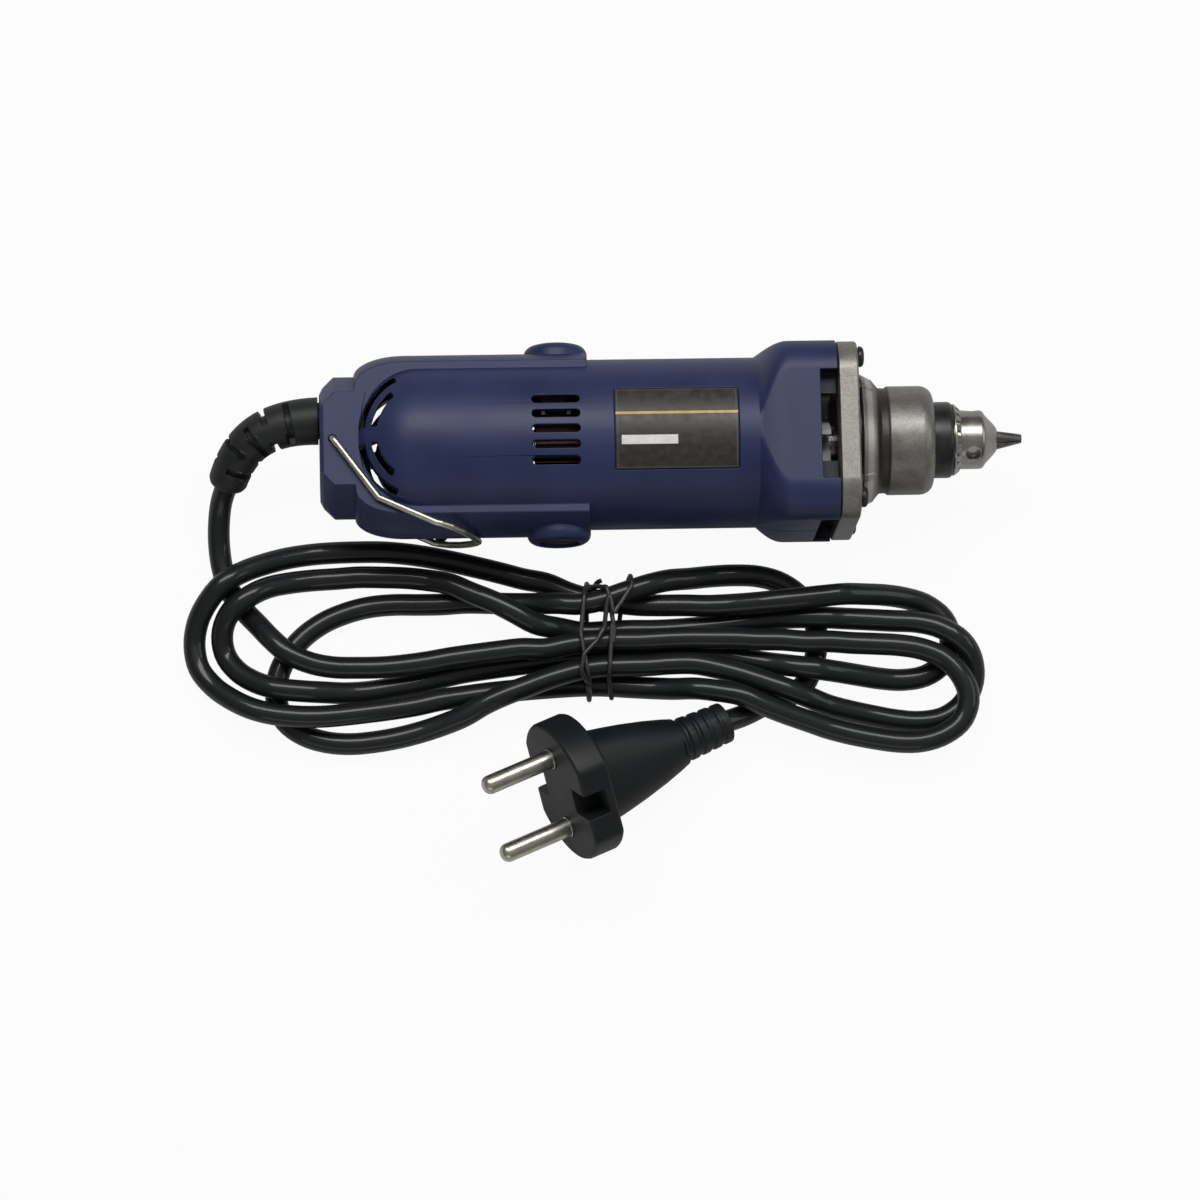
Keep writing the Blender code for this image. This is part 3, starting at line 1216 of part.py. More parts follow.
def jaw(k):
    start, way = jaw_line(k)
    end = start + way * JAW_LENGTH
    angle = KEY_HOLE_ANGLE + math.pi / 3 + k * 2 * math.pi / 3
    made = rod(start, end, JAW_R, ROUND_SIDES)
    reach = 4 * CHUCK_R
    wedge = []
    for x in (JAW_TIP_X - 2 * JAW_LENGTH, JAW_TIP_X):
        edge = GAP / 2 / math.sin(math.pi / 3)
        ring = [Vector((x, edge, 0)),
                Vector((x, edge + reach * math.cos(math.pi / 3), reach * math.sin(math.pi / 3))),
                Vector((x, edge + reach * math.cos(math.pi / 3), -reach * math.sin(math.pi / 3)))]
        wedge.append([Matrix.Translation(AXIS) @ Matrix.Rotation(angle, 4, "X") @ p for p in ring])
    combine(made, [loft(wedge)], "INTERSECT")
    return finish(made, "chuck_jaw_%d" % (k + 1), "dark_steel", end)


def jaw_nut():
    """Threaded ring inside the sleeve, cracked into two halves."""
    inner_back = jaw_outer(NUT_X) + GAP
    inner_front = jaw_outer(NUT_FRONT_X) + GAP
    ring = turned([(NUT_X, inner_back), (NUT_X, CHUCK_BACK_R), (NUT_FRONT_X, CHUCK_BACK_R),
                   (NUT_FRONT_X, inner_front)], ring=True)
    halves = []
    far = 2 * CHUCK_R
    for name, low, high in (("jaw_nut_upper", -far, GAP / 2), ("jaw_nut_lower", -GAP / 2, far)):
        half = cut(copy_of(ring), axis_box(NUT_X - OVERRUN, NUT_FRONT_X + OVERRUN, -far, far, low, high))
        halves.append(finish(half, name, "steel", AXIS))
    bpy.data.objects.remove(ring, do_unlink=True)
    return halves


def label_plate():
    bottom = BARREL_R - LABEL_SINK + GAP
    return finish(label_sector(bottom, bottom + LABEL_THICK, 0), "label_plate", "label")


def switch_parts():
    half = SWITCH_LENGTH / 2
    wide = SWITCH_WIDTH / 2
    face = -(BARREL_R + BEZEL_DROP)
    inner = face + SWITCH_DEPTH
    body = axis_box(SWITCH_X - half, SWITCH_X + half, -wide, wide, face + BEZEL / 2, inner)
    rim = BEZEL_RIM
    join(body, axis_box(SWITCH_X - half - rim, SWITCH_X + half + rim, -wide - rim, wide + rim,
                        face, face + BEZEL))
    room_x = ROCKER_LENGTH / 2 + 2 * GAP
    room_y = ROCKER_WIDTH / 2 + GAP
    cut(body, axis_box(SWITCH_X - room_x, SWITCH_X + room_x, -room_y, room_y,
                       face - OVERRUN, face + ROCKER_DEPTH + 4 * GAP))
    pivot = along_x(SWITCH_X, 0, face + ROCKER_DEPTH)
    slope = math.tan(ROCKER_TILT) * ROCKER_LENGTH / 2
    top = ROCKER_DEPTH - GAP
    outline = [(-ROCKER_LENGTH / 2, -top - slope), (0, -top), (ROCKER_LENGTH / 2, -top - slope),
               (ROCKER_LENGTH / 2 * 0.8, 0), (0, GAP), (-ROCKER_LENGTH / 2 * 0.8, 0)]
    rings = [[Vector((x, y, z)) for x, z in outline] for y in (-ROCKER_WIDTH / 2, ROCKER_WIDTH / 2)]
    rocker = loft(rings)
    moved(rocker, Matrix.Translation(pivot) @ Matrix.Rotation(-ROCKER_TILT, 4, "Y"))
    return [finish(body, "switch_body", "black"), finish(rocker, "switch_rocker", "black", pivot)]


def speed_dial():
    rings = []
    for y in (-DIAL_WIDTH / 2, DIAL_WIDTH / 2):
        ring = []
        for k in range(DIAL_RIBS):
            for share, r in ((0.0, DIAL_R), (0.45, DIAL_R), (0.55, DIAL_R - DIAL_RIB),
                             (0.9, DIAL_R - DIAL_RIB)):
                a = 2 * math.pi * (k + share) / DIAL_RIBS
                ring.append(along_x(DIAL_X + r * math.cos(a), y, DIAL_Z + r * math.sin(a)))
        rings.append(ring)
    dial = loft(rings)
    return finish(dial, "speed_dial", "black", along_x(DIAL_X, 0, DIAL_Z))


def control_board():
    x0, y0 = board_corner()
    board = axis_box(x0, x0 + BOARD_LENGTH, y0, y0 + BOARD_THICK, -BOARD_BOTTOM, -BOARD_BOTTOM + BOARD_HEIGHT)
    pot = rod(along_x(DIAL_X, DIAL_WIDTH / 2 + GAP, DIAL_Z),
              along_x(DIAL_X, y0 + BOARD_THICK / 2, DIAL_Z), POT_R)
    part = axis_box(x0 + BOARD_PART, x0 + 2 * BOARD_PART, y0 + BOARD_THICK / 2, y0 + BOARD_THICK + BOARD_PART,
                    -BOARD_BOTTOM / 2, BOARD_PART)
    return finish(join(board, pot, part), "control_board", "board")


def relief_route():
    """Middle line of the strain relief, from the rear face to the cord."""
    start = along_x(TAIL_X, CORD_EXIT_Y, 0)
    end = route_point(LEAD_ROUTE[0])
    after = route_point(LEAD_ROUTE[1])
    out = (end - start).length
    way = (after - end).normalized()
    points = []
    steps = 22
    for k in range(steps + 1):
        t = k / steps
        a = start + Vector((-out * 0.5, 0, 0))
        b = end - way * out * 0.42
        inner = 3 * a * t * (1 - t) ** 2 + 3 * b * t ** 2 * (1 - t)
        points.append(start * (1 - t) ** 3 + inner + end * t ** 3)
    return points


def swept(path, radii, sides):
    """Tube along a path with its own radius at each point."""
    rings = []
    up = Vector((0, 0, 1))
    for k, point in enumerate(path):
        ahead = path[min(k + 1, len(path) - 1)] - path[max(k - 1, 0)]
        ahead.normalize()
        side = ahead.cross(up).normalized()
        top = side.cross(ahead).normalized()
        ring = []
        for s in range(sides):
            a = 2 * math.pi * (s + 0.5) / sides
            ring.append(point + (side * math.cos(a) + top * math.sin(a)) * radii[k])
        rings.append(ring)
    return loft(rings)


def strain_relief():
    path = relief_route()
    count = len(path)
    radii = []
    for k in range(count):
        share = k / (count - 1)
        radius = RELIEF_BASE_R + (RELIEF_END_R - RELIEF_BASE_R) * share
        ribbed = 0.18 < share < 0.97 and k % 4 == 2
        radii.append(radius - (RELIEF_GROOVE if ribbed else 0))
    first = path[0] + Vector((-GAP, 0, 0))
    sleeve = swept([first] + path[1:], radii, SMALL_SIDES)
    flange_r, flange = RELIEF_FLANGE
    inside = rod(along_x(TAIL_X + WALL + GAP, CORD_EXIT_Y, 0),
                 along_x(TAIL_X + WALL + GAP + flange, CORD_EXIT_Y, 0), flange_r)
    neck = rod(along_x(TAIL_X - 3 * GAP, CORD_EXIT_Y, 0), along_x(TAIL_X + WALL + 3 * GAP, CORD_EXIT_Y, 0),
               RELIEF_NECK_R)
    return finish(join(sleeve, neck, inside), "strain_relief", "black")


def inner_cord():
    """The cord's jacket inside the tail, and the clamp bar over it."""
    start = TAIL_X + WALL + 2 * GAP + RELIEF_FLANGE[1]
    stub = rod(along_x(start, CORD_EXIT_Y, 0), along_x(start + CLAMP_LENGTH + 4 * GAP, CORD_EXIT_Y, 0),
               CORD_D / 2)
    clamp = axis_box(start + 2 * GAP, start + 2 * GAP + CLAMP_LENGTH, CORD_EXIT_Y - CLAMP_HALF_WIDTH,
                     CORD_EXIT_Y + CLAMP_HALF_WIDTH, CORD_D / 2 + GAP, CORD_D / 2 + GAP + CLAMP_THICK)
    return [finish(stub, "cord_inside", "cord"), finish(clamp, "cord_clamp", "black")]


def bail():
    """Sprung wire bail: two legs on the flats, meeting beside the grip."""
    height = FLAT_Z + GAP + BAIL_WIRE_R
    bend_r = BAIL_WIRE_R + GAP
    side = []
    side.append(Vector((0, 0, FLAT_Z - BAIL_PIN)))
    steps = 3
    run = Vector((BAIL_BEND[0], -BAIL_BEND[1], 0)).normalized()
    for k in range(steps + 1):
        a = k / steps * math.pi / 2
        side.append(Vector((0, 0, height - bend_r + bend_r * math.sin(a))) + run * bend_r * (1 - math.cos(a)))
    side.append(Vector((BAIL_BEND[0], -BAIL_BEND[1], height)) - run * bend_r)
    shoulder = Vector((BAIL_SHOULDER[0], -BAIL_SHOULDER[1], height))
    second = (shoulder - Vector((BAIL_BEND[0], -BAIL_BEND[1], height))).normalized()
    side.append(Vector((BAIL_BEND[0], -BAIL_BEND[1], height)) + second * bend_r)
    side.append(shoulder - second * bend_r)
    tip = Vector((BAIL_TIP[0], -BAIL_TIP[1], 0))
    share_table = ((0.12, 0.99), (0.35, 0.9), (0.6, 0.68), (0.82, 0.4), (0.95, 0.16))
    for share, rise in share_table:
        spot = shoulder.lerp(tip, share)
        side.append(Vector((spot.x, spot.y, height * rise)))
    path = side + [tip] + [Vector((p.x, p.y, -p.z)) for p in reversed(side)]
    place = along_x(PIVOT_X, 0, 0)
    made = tube([place + p for p in path], BAIL_WIRE_R, 1)
    return finish(made, "hanging_bail", "nickel", place)


def route_point(point):
    return Vector(point) * ROUTE_UNIT


def smooth_route(points, step):
    """Catmull-Rom curve through the route's own points, at even steps."""
    p = np.array(points)
    p = np.vstack([2 * p[0] - p[1], p, 2 * p[-1] - p[-2]])
    fine = []
    per_span = 12
    for i in range(1, len(p) - 2):
        a, b, c, d = p[i - 1:i + 3]
        for k in range(per_span):
            t = k / per_span
            fine.append((2 * b + (c - a) * t + (2 * a - 5 * b + 4 * c - d) * t ** 2
                         + (3 * b - a - 3 * c + d) * t ** 3) / 2)
    fine.append(p[-2])
    fine = np.array(fine)
    far = np.concatenate([[0], np.cumsum(np.linalg.norm(np.diff(fine, axis=0), axis=1))])
    even = np.linspace(0, far[-1], int(round(far[-1] / step)) + 1)
    return np.stack([np.interp(even, far, fine[:, k]) for k in range(3)], axis=1)


def lowest(path):
    """Height of a strand's middle where it lies on the table, or on the tie's wire."""
    return CORD_D / 2 + WAIST_LIFT * np.exp(-((path[:, 0] - WAIST_X) / WAIST_RAMP) ** 2)


def strand_pairs(path):
    """Pairs of points that belong to different passes of the cord and lie near each other."""
    gap = path[:, None, :] - path[None, :, :]
    order = np.arange(len(path))
    later = order[None, :] - order[:, None] > 8
    return np.nonzero(((gap ** 2).sum(axis=2) < (2.5 * STRAND_PITCH) ** 2) & later)


def push_apart(path, pairs, times):
    first, second = pairs
    for _ in range(times):
        gap = path[first] - path[second]
        dist = np.linalg.norm(gap, axis=1)
        close = dist < STRAND_PITCH
        push = gap[close] * ((STRAND_PITCH - dist[close]) / dist[close] / 2)[:, None]
        move = np.zeros_like(path)
        count = np.zeros(len(path))
        np.add.at(move, first[close], push)
        np.add.at(move, second[close], -push)
        np.add.at(count, first[close], 1)
        np.add.at(count, second[close], 1)
        path += move / np.maximum(count, 1)[:, None]
        path[:, 2] = np.maximum(path[:, 2], lowest(path))


def settled_route():
    """The cord's middle line: it drops onto the table and onto itself, and never into itself."""
    points = [tuple(route_point(p)) for p in LEAD_ROUTE]
    for x, y, layer in HANK_ROUTE:
        points.append((x * ROUTE_UNIT, y * ROUTE_UNIT, CORD_D / 2 + layer * LAYER))
    points += [tuple(plug_place(-PLUG_BACK - GAP - TAIL_RUN * share)) for share in (0.75, 0.35, 0)]
    home = smooth_route(points, ROUTE_STEP)
    path = home.copy()
    neighbours = 4
    kernel = np.ones(2 * neighbours + 1) / (2 * neighbours + 1)
    rounds = 160
    finishing = 60
    for k in range(rounds + finishing):
        if k % 10 == 0:
            pairs = strand_pairs(path)
        if k < rounds:
            path[:, :2] += 0.02 * (home[:, :2] - path[:, :2])
            path[:, 2] -= SETTLE_STEP
            offset = path - home
            padded = np.pad(offset, ((neighbours, neighbours), (0, 0)), mode="edge")
            even = [np.convolve(padded[:, c], kernel, mode="valid") for c in range(3)]
            path = home + offset + 0.8 * (np.stack(even, axis=1) - offset)
        push_apart(path, pairs, 4 if k < rounds else 8)
        path[:2] = home[:2]
        path[-2:] = home[-2:]
    return path


def nearest(path, point):
    return int(np.argmin(np.linalg.norm(path - np.array(point), axis=1)))


def thinned(path):
    """Fewer points, close together only where the cord turns."""
    kept = [0]
    turn = 0.0
    run = 0.0
    for i in range(1, len(path) - 1):
        a = path[i] - path[i - 1]
        b = path[i + 1] - path[i]
        cosine = a @ b / np.linalg.norm(a) / np.linalg.norm(b)
        turn += math.acos(max(-1, min(1, cosine)))
        run += np.linalg.norm(a)
        if turn > TUBE_TURN or run > TUBE_RUN:
            kept.append(i)
            turn = 0.0
            run = 0.0
    kept.append(len(path) - 1)
    return path[kept]


def segment_gap(p0, p1, q0, q1):
    u, v, w = p1 - p0, q1 - q0, p0 - q0
    a, b, c, d, e = u @ u, u @ v, v @ v, u @ w, v @ w
    spread = a * c - b * b
    s = min(1, max(0, (b * e - c * d) / spread)) if spread > 0 else 0
    t = min(1, max(0, (b * s + e) / c))
    s = min(1, max(0, (b * t - d) / a))
    return float(np.linalg.norm(w + s * u - t * v))


def least_gap(path):
    """Least clear distance between two passes of the tube, measured on its points."""
    far = np.concatenate([[0], np.cumsum(np.linalg.norm(np.diff(path, axis=0), axis=1))])
    middle = (path[:-1] + path[1:]) / 2
    near = 4 * CORD_D
    least = near
    for i in range(len(path) - 1):
        apart = np.linalg.norm(middle - middle[i], axis=1)
        for j in np.nonzero((apart < near) & (far[:-1] > far[i + 1] + near))[0]:
            least = min(least, segment_gap(path[i], path[i + 1], path[j], path[j + 1]))
    return least - CORD_D


def cord_nodes():
    path = settled_route()
    lead_last = nearest(path, route_point(LEAD_ROUTE[-1]))
    tail_first = nearest(path, plug_place(-PLUG_BACK - TAIL_RUN))
    for joint in (lead_last, tail_first):
        run = (path[joint + 1] - path[joint - 1]) / 2
        path[joint - 1] = path[joint] - run
        path[joint + 1] = path[joint] + run
    hank = path[lead_last:tail_first + 1]
    hank = np.vstack([hank[:2], thinned(hank[2:-2]), hank[-2:]])
    print("cord length %.3f m" % np.linalg.norm(np.diff(path, axis=0), axis=1).sum())
    print("hank points", len(hank), "least gap to itself %.2f mm" % (least_gap(hank) / MM))
    lead = path[:lead_last + 1]
    tail = path[tail_first:]
    made = []
    for name, points, resolution in (("cord_lead", lead, 3), ("cord_hank", hank, 1), ("cord_tail", tail, 3)):
        line = [Vector(p) for p in points]
        line[0] = line[0] + (line[1] - line[0]).normalized() * GAP
        line[-1] = line[-1] + (line[-2] - line[-1]).normalized() * GAP / 2
        made.append(finish(tube(line, CORD_D / 2, resolution), name, "cord"))
    made.append(cord_tie(path))
    return made


def strands_at(path, x):
    """Where the cord's passes cross a plane across X, as (y, z) pairs."""
    found = []
    for one, other in zip(path, path[1:]):
        if (one[0] - x) * (other[0] - x) < 0:
            share = (x - one[0]) / (other[0] - one[0])
            spot = one + (other - one) * share
            found.append((spot[1], spot[2]))
    return found


def cord_tie(path):
    """Wire tie: turns of one wire round the bundle, its ends twisted up on top."""
    per_turn = 16
    offset = CORD_D / 2 + GAP + TIE_R + GAP
    line = []
    count = TIE_TURNS * per_turn + 1
    for k in range(count):
        x = WAIST_X - TIE_WIDTH / 2 + TIE_WIDTH * k / (count - 1)
        angle = math.pi / 2 + 2 * math.pi * k / per_turn
        out = (math.cos(angle), math.sin(angle))
        bundle = strands_at(path, x)
        y, z = max(bundle, key=lambda s: s[0] * out[0] + s[1] * out[1])
        spot = Vector((x, y + out[0] * offset, z + out[1] * offset))
        line.append(spot)
    last = line[-1]
    line.append(last + Vector((TIE_WIDTH / 3, TIE_R, TIE_R)))
    line.append(last + Vector((TIE_WIDTH * 0.7, TIE_WIDTH / 4, 2 * TIE_R)))
    return finish(tube(line, TIE_R, 1), "cord_tie", "black")


def plug_frame():
    """Plug axes: the way its pins point, across, and up from its flat side."""
    flat = Vector((math.cos(PLUG_YAW), math.sin(PLUG_YAW), 0))
    ahead = flat * math.cos(PLUG_TILT) + Vector((0, 0, math.sin(PLUG_TILT)))
    across = Vector((0, 0, 1)).cross(flat).normalized()
    up = ahead.cross(across).normalized()
    height = PLUG_R * math.cos(PLUG_TILT) + (PLUG_HEAD - PLUG_EDGE) * math.sin(PLUG_TILT)
    centre = Vector((*PLUG_FACE, height))
    roll = Matrix.Rotation(PLUG_ROLL, 3, ahead)
    return centre, ahead, roll @ across, roll @ up


PLUG_BACK = PLUG_HEAD + PLUG_GRIP_LENGTH + PLUG_BOOT_LENGTH


def plug_place(along, across_by=0.0, up_by=0.0):
    centre, ahead, across, up = plug_frame()
    return centre + ahead * along + across * across_by + up * up_by


def plug_section(along, half_wide, half_high, sides=SMALL_SIDES, power=2.4):
    ring = []
    for k in range(sides):
        a = 2 * math.pi * (k + 0.5) / sides
        c = math.cos(a)
        s = math.sin(a)
        y = math.copysign(abs(c) ** (2 / power), c) * half_wide
        z = math.copysign(abs(s) ** (2 / power), s) * half_high
        ring.append(plug_place(along, y, z))
    return ring


def plug():
    centre, ahead, across, up = plug_frame()
    head = []
    count = 40
    edge = PLUG_EDGE
    for along, inset in ((0, edge), (-edge, 0), (-PLUG_HEAD + edge, 0), (-PLUG_HEAD, edge)):
        ring = []
        for k in range(count):
            a = 2 * math.pi * (k + 0.5) / count
            y = (PLUG_R - inset) * math.cos(a)
            z = (PLUG_R - inset) * math.sin(a)
            limit = PLUG_FLAT - inset
            ring.append(plug_place(along, y, max(-limit, min(limit, z))))
        head.append(ring)
    body = loft(head)
    width, depth = PLUG_NOTCH
    notches = []
    for side in (1, -1):
        notch = box((-PLUG_HEAD * 0.7, -width / 2, PLUG_FLAT - depth), (OVERRUN, width / 2, PLUG_R + OVERRUN))
        turn = Matrix((ahead, across * side, up * side)).transposed().to_4x4()
        notches.append(moved(notch, Matrix.Translation(centre) @ turn))
    sections = []
    for share, wide, high in zip(PLUG_GRIP_SHARES, PLUG_GRIP_WIDE, PLUG_GRIP_HIGH):
        sections.append(plug_section(-PLUG_HEAD + edge - (PLUG_GRIP_LENGTH + edge) * share, wide, high))
    boot = []
    start = PLUG_HEAD + PLUG_GRIP_LENGTH
    rows = PLUG_BOOT_RIBS * 4 + 2
    for k in range(rows):
        share = k / (rows - 1)
        radius = PLUG_BOOT_R[0] + (PLUG_BOOT_R[1] - PLUG_BOOT_R[0]) * share
        radius -= PLUG_BOOT_GROOVE if k % 4 == 2 else 0
        boot.append(plug_section(-start + edge - (PLUG_BOOT_LENGTH + edge) * share, radius, radius,
                                 SMALL_SIDES, 2))
    join(body, loft(sections), loft(boot))
    pins = []
    for side in (1, -1):
        y = side * PIN_HALF_PITCH
        notches.append(rod(plug_place(-PIN_ROOT, y), plug_place(OVERRUN, y), PIN_R + GAP))
        pins.append(turned([(0, 0), (0, PIN_R), (PIN_ROOT + PIN_LENGTH - PIN_R, PIN_R),
                            (PIN_ROOT + PIN_LENGTH - PIN_R / 3, PIN_R * 0.8),
                            (PIN_ROOT + PIN_LENGTH, PIN_R * 0.4), (PIN_ROOT + PIN_LENGTH, 0)], SMALL_SIDES,
                           centre=plug_place(-PIN_ROOT + GAP, y), direction=ahead))
    cut(body, *notches)
    made = [finish(pin, name, "nickel") for pin, name in zip(pins, ("plug_pin_left", "plug_pin_right"))]
    return [finish(body, "plug_body", "black"), *made]


clear_scene()
MATERIALS = make_materials()
housing_shells()
shell_screws()
nose_casting()
nose_screws()
label_plate()
baffle()
stator_core()
field_coils()
front_outer, front_inner = bearing("front_bearing", FRONT_BEARING_X + FRONT_BEARING[1] / 2 + GAP,
                                   FRONT_BEARING, SHAFT_R + GAP)
rear_outer, rear_inner = bearing("rear_bearing", REAR_BEARING_X, REAR_BEARING, JOURNAL_R + GAP)
brush_gear("left", 1)
brush_gear("right", -1)
rotor = [armature_shaft(), *armature(), commutator(), fan(), front_inner, rear_inner]
chuck_body, *sleeve_parts = chuck_parts()
joint_frame("rotor_axis", AXIS, [*rotor, chuck_body])
joint_frame("sleeve_axis", AXIS, sleeve_parts)
for number in range(3):
    jaw(number)
switch_body, switch_rocker = switch_parts()
speed_dial()
control_board()
strain_relief()
inner_cord()
bail()
cord_nodes()
plug()
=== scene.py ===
"""Mini drill with a keyed chuck, its cord folded into a tied hank beside it."""
from math import copysign, cos, floor, pi, sin, tan

import bmesh
import bpy
from mathutils import Matrix, Vector


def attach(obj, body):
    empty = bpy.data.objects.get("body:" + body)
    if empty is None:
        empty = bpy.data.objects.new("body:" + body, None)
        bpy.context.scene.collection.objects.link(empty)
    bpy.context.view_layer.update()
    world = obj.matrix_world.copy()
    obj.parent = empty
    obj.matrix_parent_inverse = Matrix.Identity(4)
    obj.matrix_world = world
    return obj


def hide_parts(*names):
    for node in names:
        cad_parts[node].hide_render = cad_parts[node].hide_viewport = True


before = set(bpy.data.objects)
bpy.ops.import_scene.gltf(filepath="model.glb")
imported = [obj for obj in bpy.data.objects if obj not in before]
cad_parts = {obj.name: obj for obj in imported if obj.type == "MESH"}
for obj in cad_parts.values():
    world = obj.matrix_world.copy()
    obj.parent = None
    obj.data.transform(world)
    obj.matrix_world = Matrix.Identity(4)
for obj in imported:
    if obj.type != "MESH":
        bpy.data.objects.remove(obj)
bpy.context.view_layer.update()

MM = 0.001
DEG = pi / 180
ORIGIN, ALONG, ACROSS, UP = (Vector(v) for v in ((0, 0, 0), (1, 0, 0), (0, 1, 0), (0, 0, 1)))
AXIS = Vector((0, 0, 22.8)) * MM
GAP = 0.3 * MM
OVER = 1.5 * MM

# The tool, along its axis from the tail to the jaw tips
TAIL_X = -88.3 * MM
BLOCK_X = -79.6 * MM
SWELL_X = -67.0 * MM
DOME_X = -64.1 * MM
GRIP_X = -21.5 * MM
FLARE_X = 20.9 * MM
HEAD_X = 28.6 * MM
FRONT_X = 40.5 * MM
FLANGE_X = 40.8 * MM
COLLAR_X = 45.8 * MM
NOSE_FRONT_X = 65.6 * MM
SLEEVE_X = 60.8 * MM
SLEEVE_FRONT_X = 70.5 * MM
CHUCK_FRONT_X = 81.9 * MM
JAW_TIP_X = 88.3 * MM

BARREL_R = 21.4 * MM
BORE_R = 18.9 * MM
FAN_ROOM_R = 19.6 * MM
ROOM_X = 30.3 * MM
GRIP_R = 23.0 * MM
FLAT_Z = 12.5 * MM
DOME_LENGTH = 18.0 * MM
HEAD_HALF = 22.8 * MM
HEAD_CORNER_R = 9.0 * MM
BLOCK_HALF_WIDTH = 17.8 * MM
BLOCK_FLAT_HALF_WIDTH = 11.8 * MM
BLOCK_SIDE_HALF_HEIGHT = 2.0 * MM
BLOCK_CORNER = 3.6 * MM
BLOCK_EDGE = 0.9 * MM
BOSS_X = -28.75 * MM
BOSS_R = 8.0 * MM
BOSS_REACH = 25.2 * MM
BOSS_FLAT_R = 5.6 * MM
BRUSH_BORE_R = 5.1 * MM
CORD_EXIT_Y = 7.1 * MM
PIVOT_X = -85.2 * MM
SWITCH_X = -45.3 * MM
DIAL_X = -62.7 * MM
DIAL_Z = -14.0 * MM
SCREW_PLACE = 17.8 * MM
SLEEVE_R = 9.6 * MM
CHUCK_R = 7.4 * MM
NOSE_R = 13.7 * MM
CORD_R = 2.8 * MM
BAIL_R = 0.85 * MM
WINDOW_X = 36.1 * MM
WINDOW_HALF = 13.8 * MM
JAW_R = 1.45 * MM
JAW_TILT = 14 * DEG
JAW_MEET_X = 86.4 * MM
PIN_PLACE = 9.5 * MM
TIE_R = 0.6 * MM

SIDES = 128

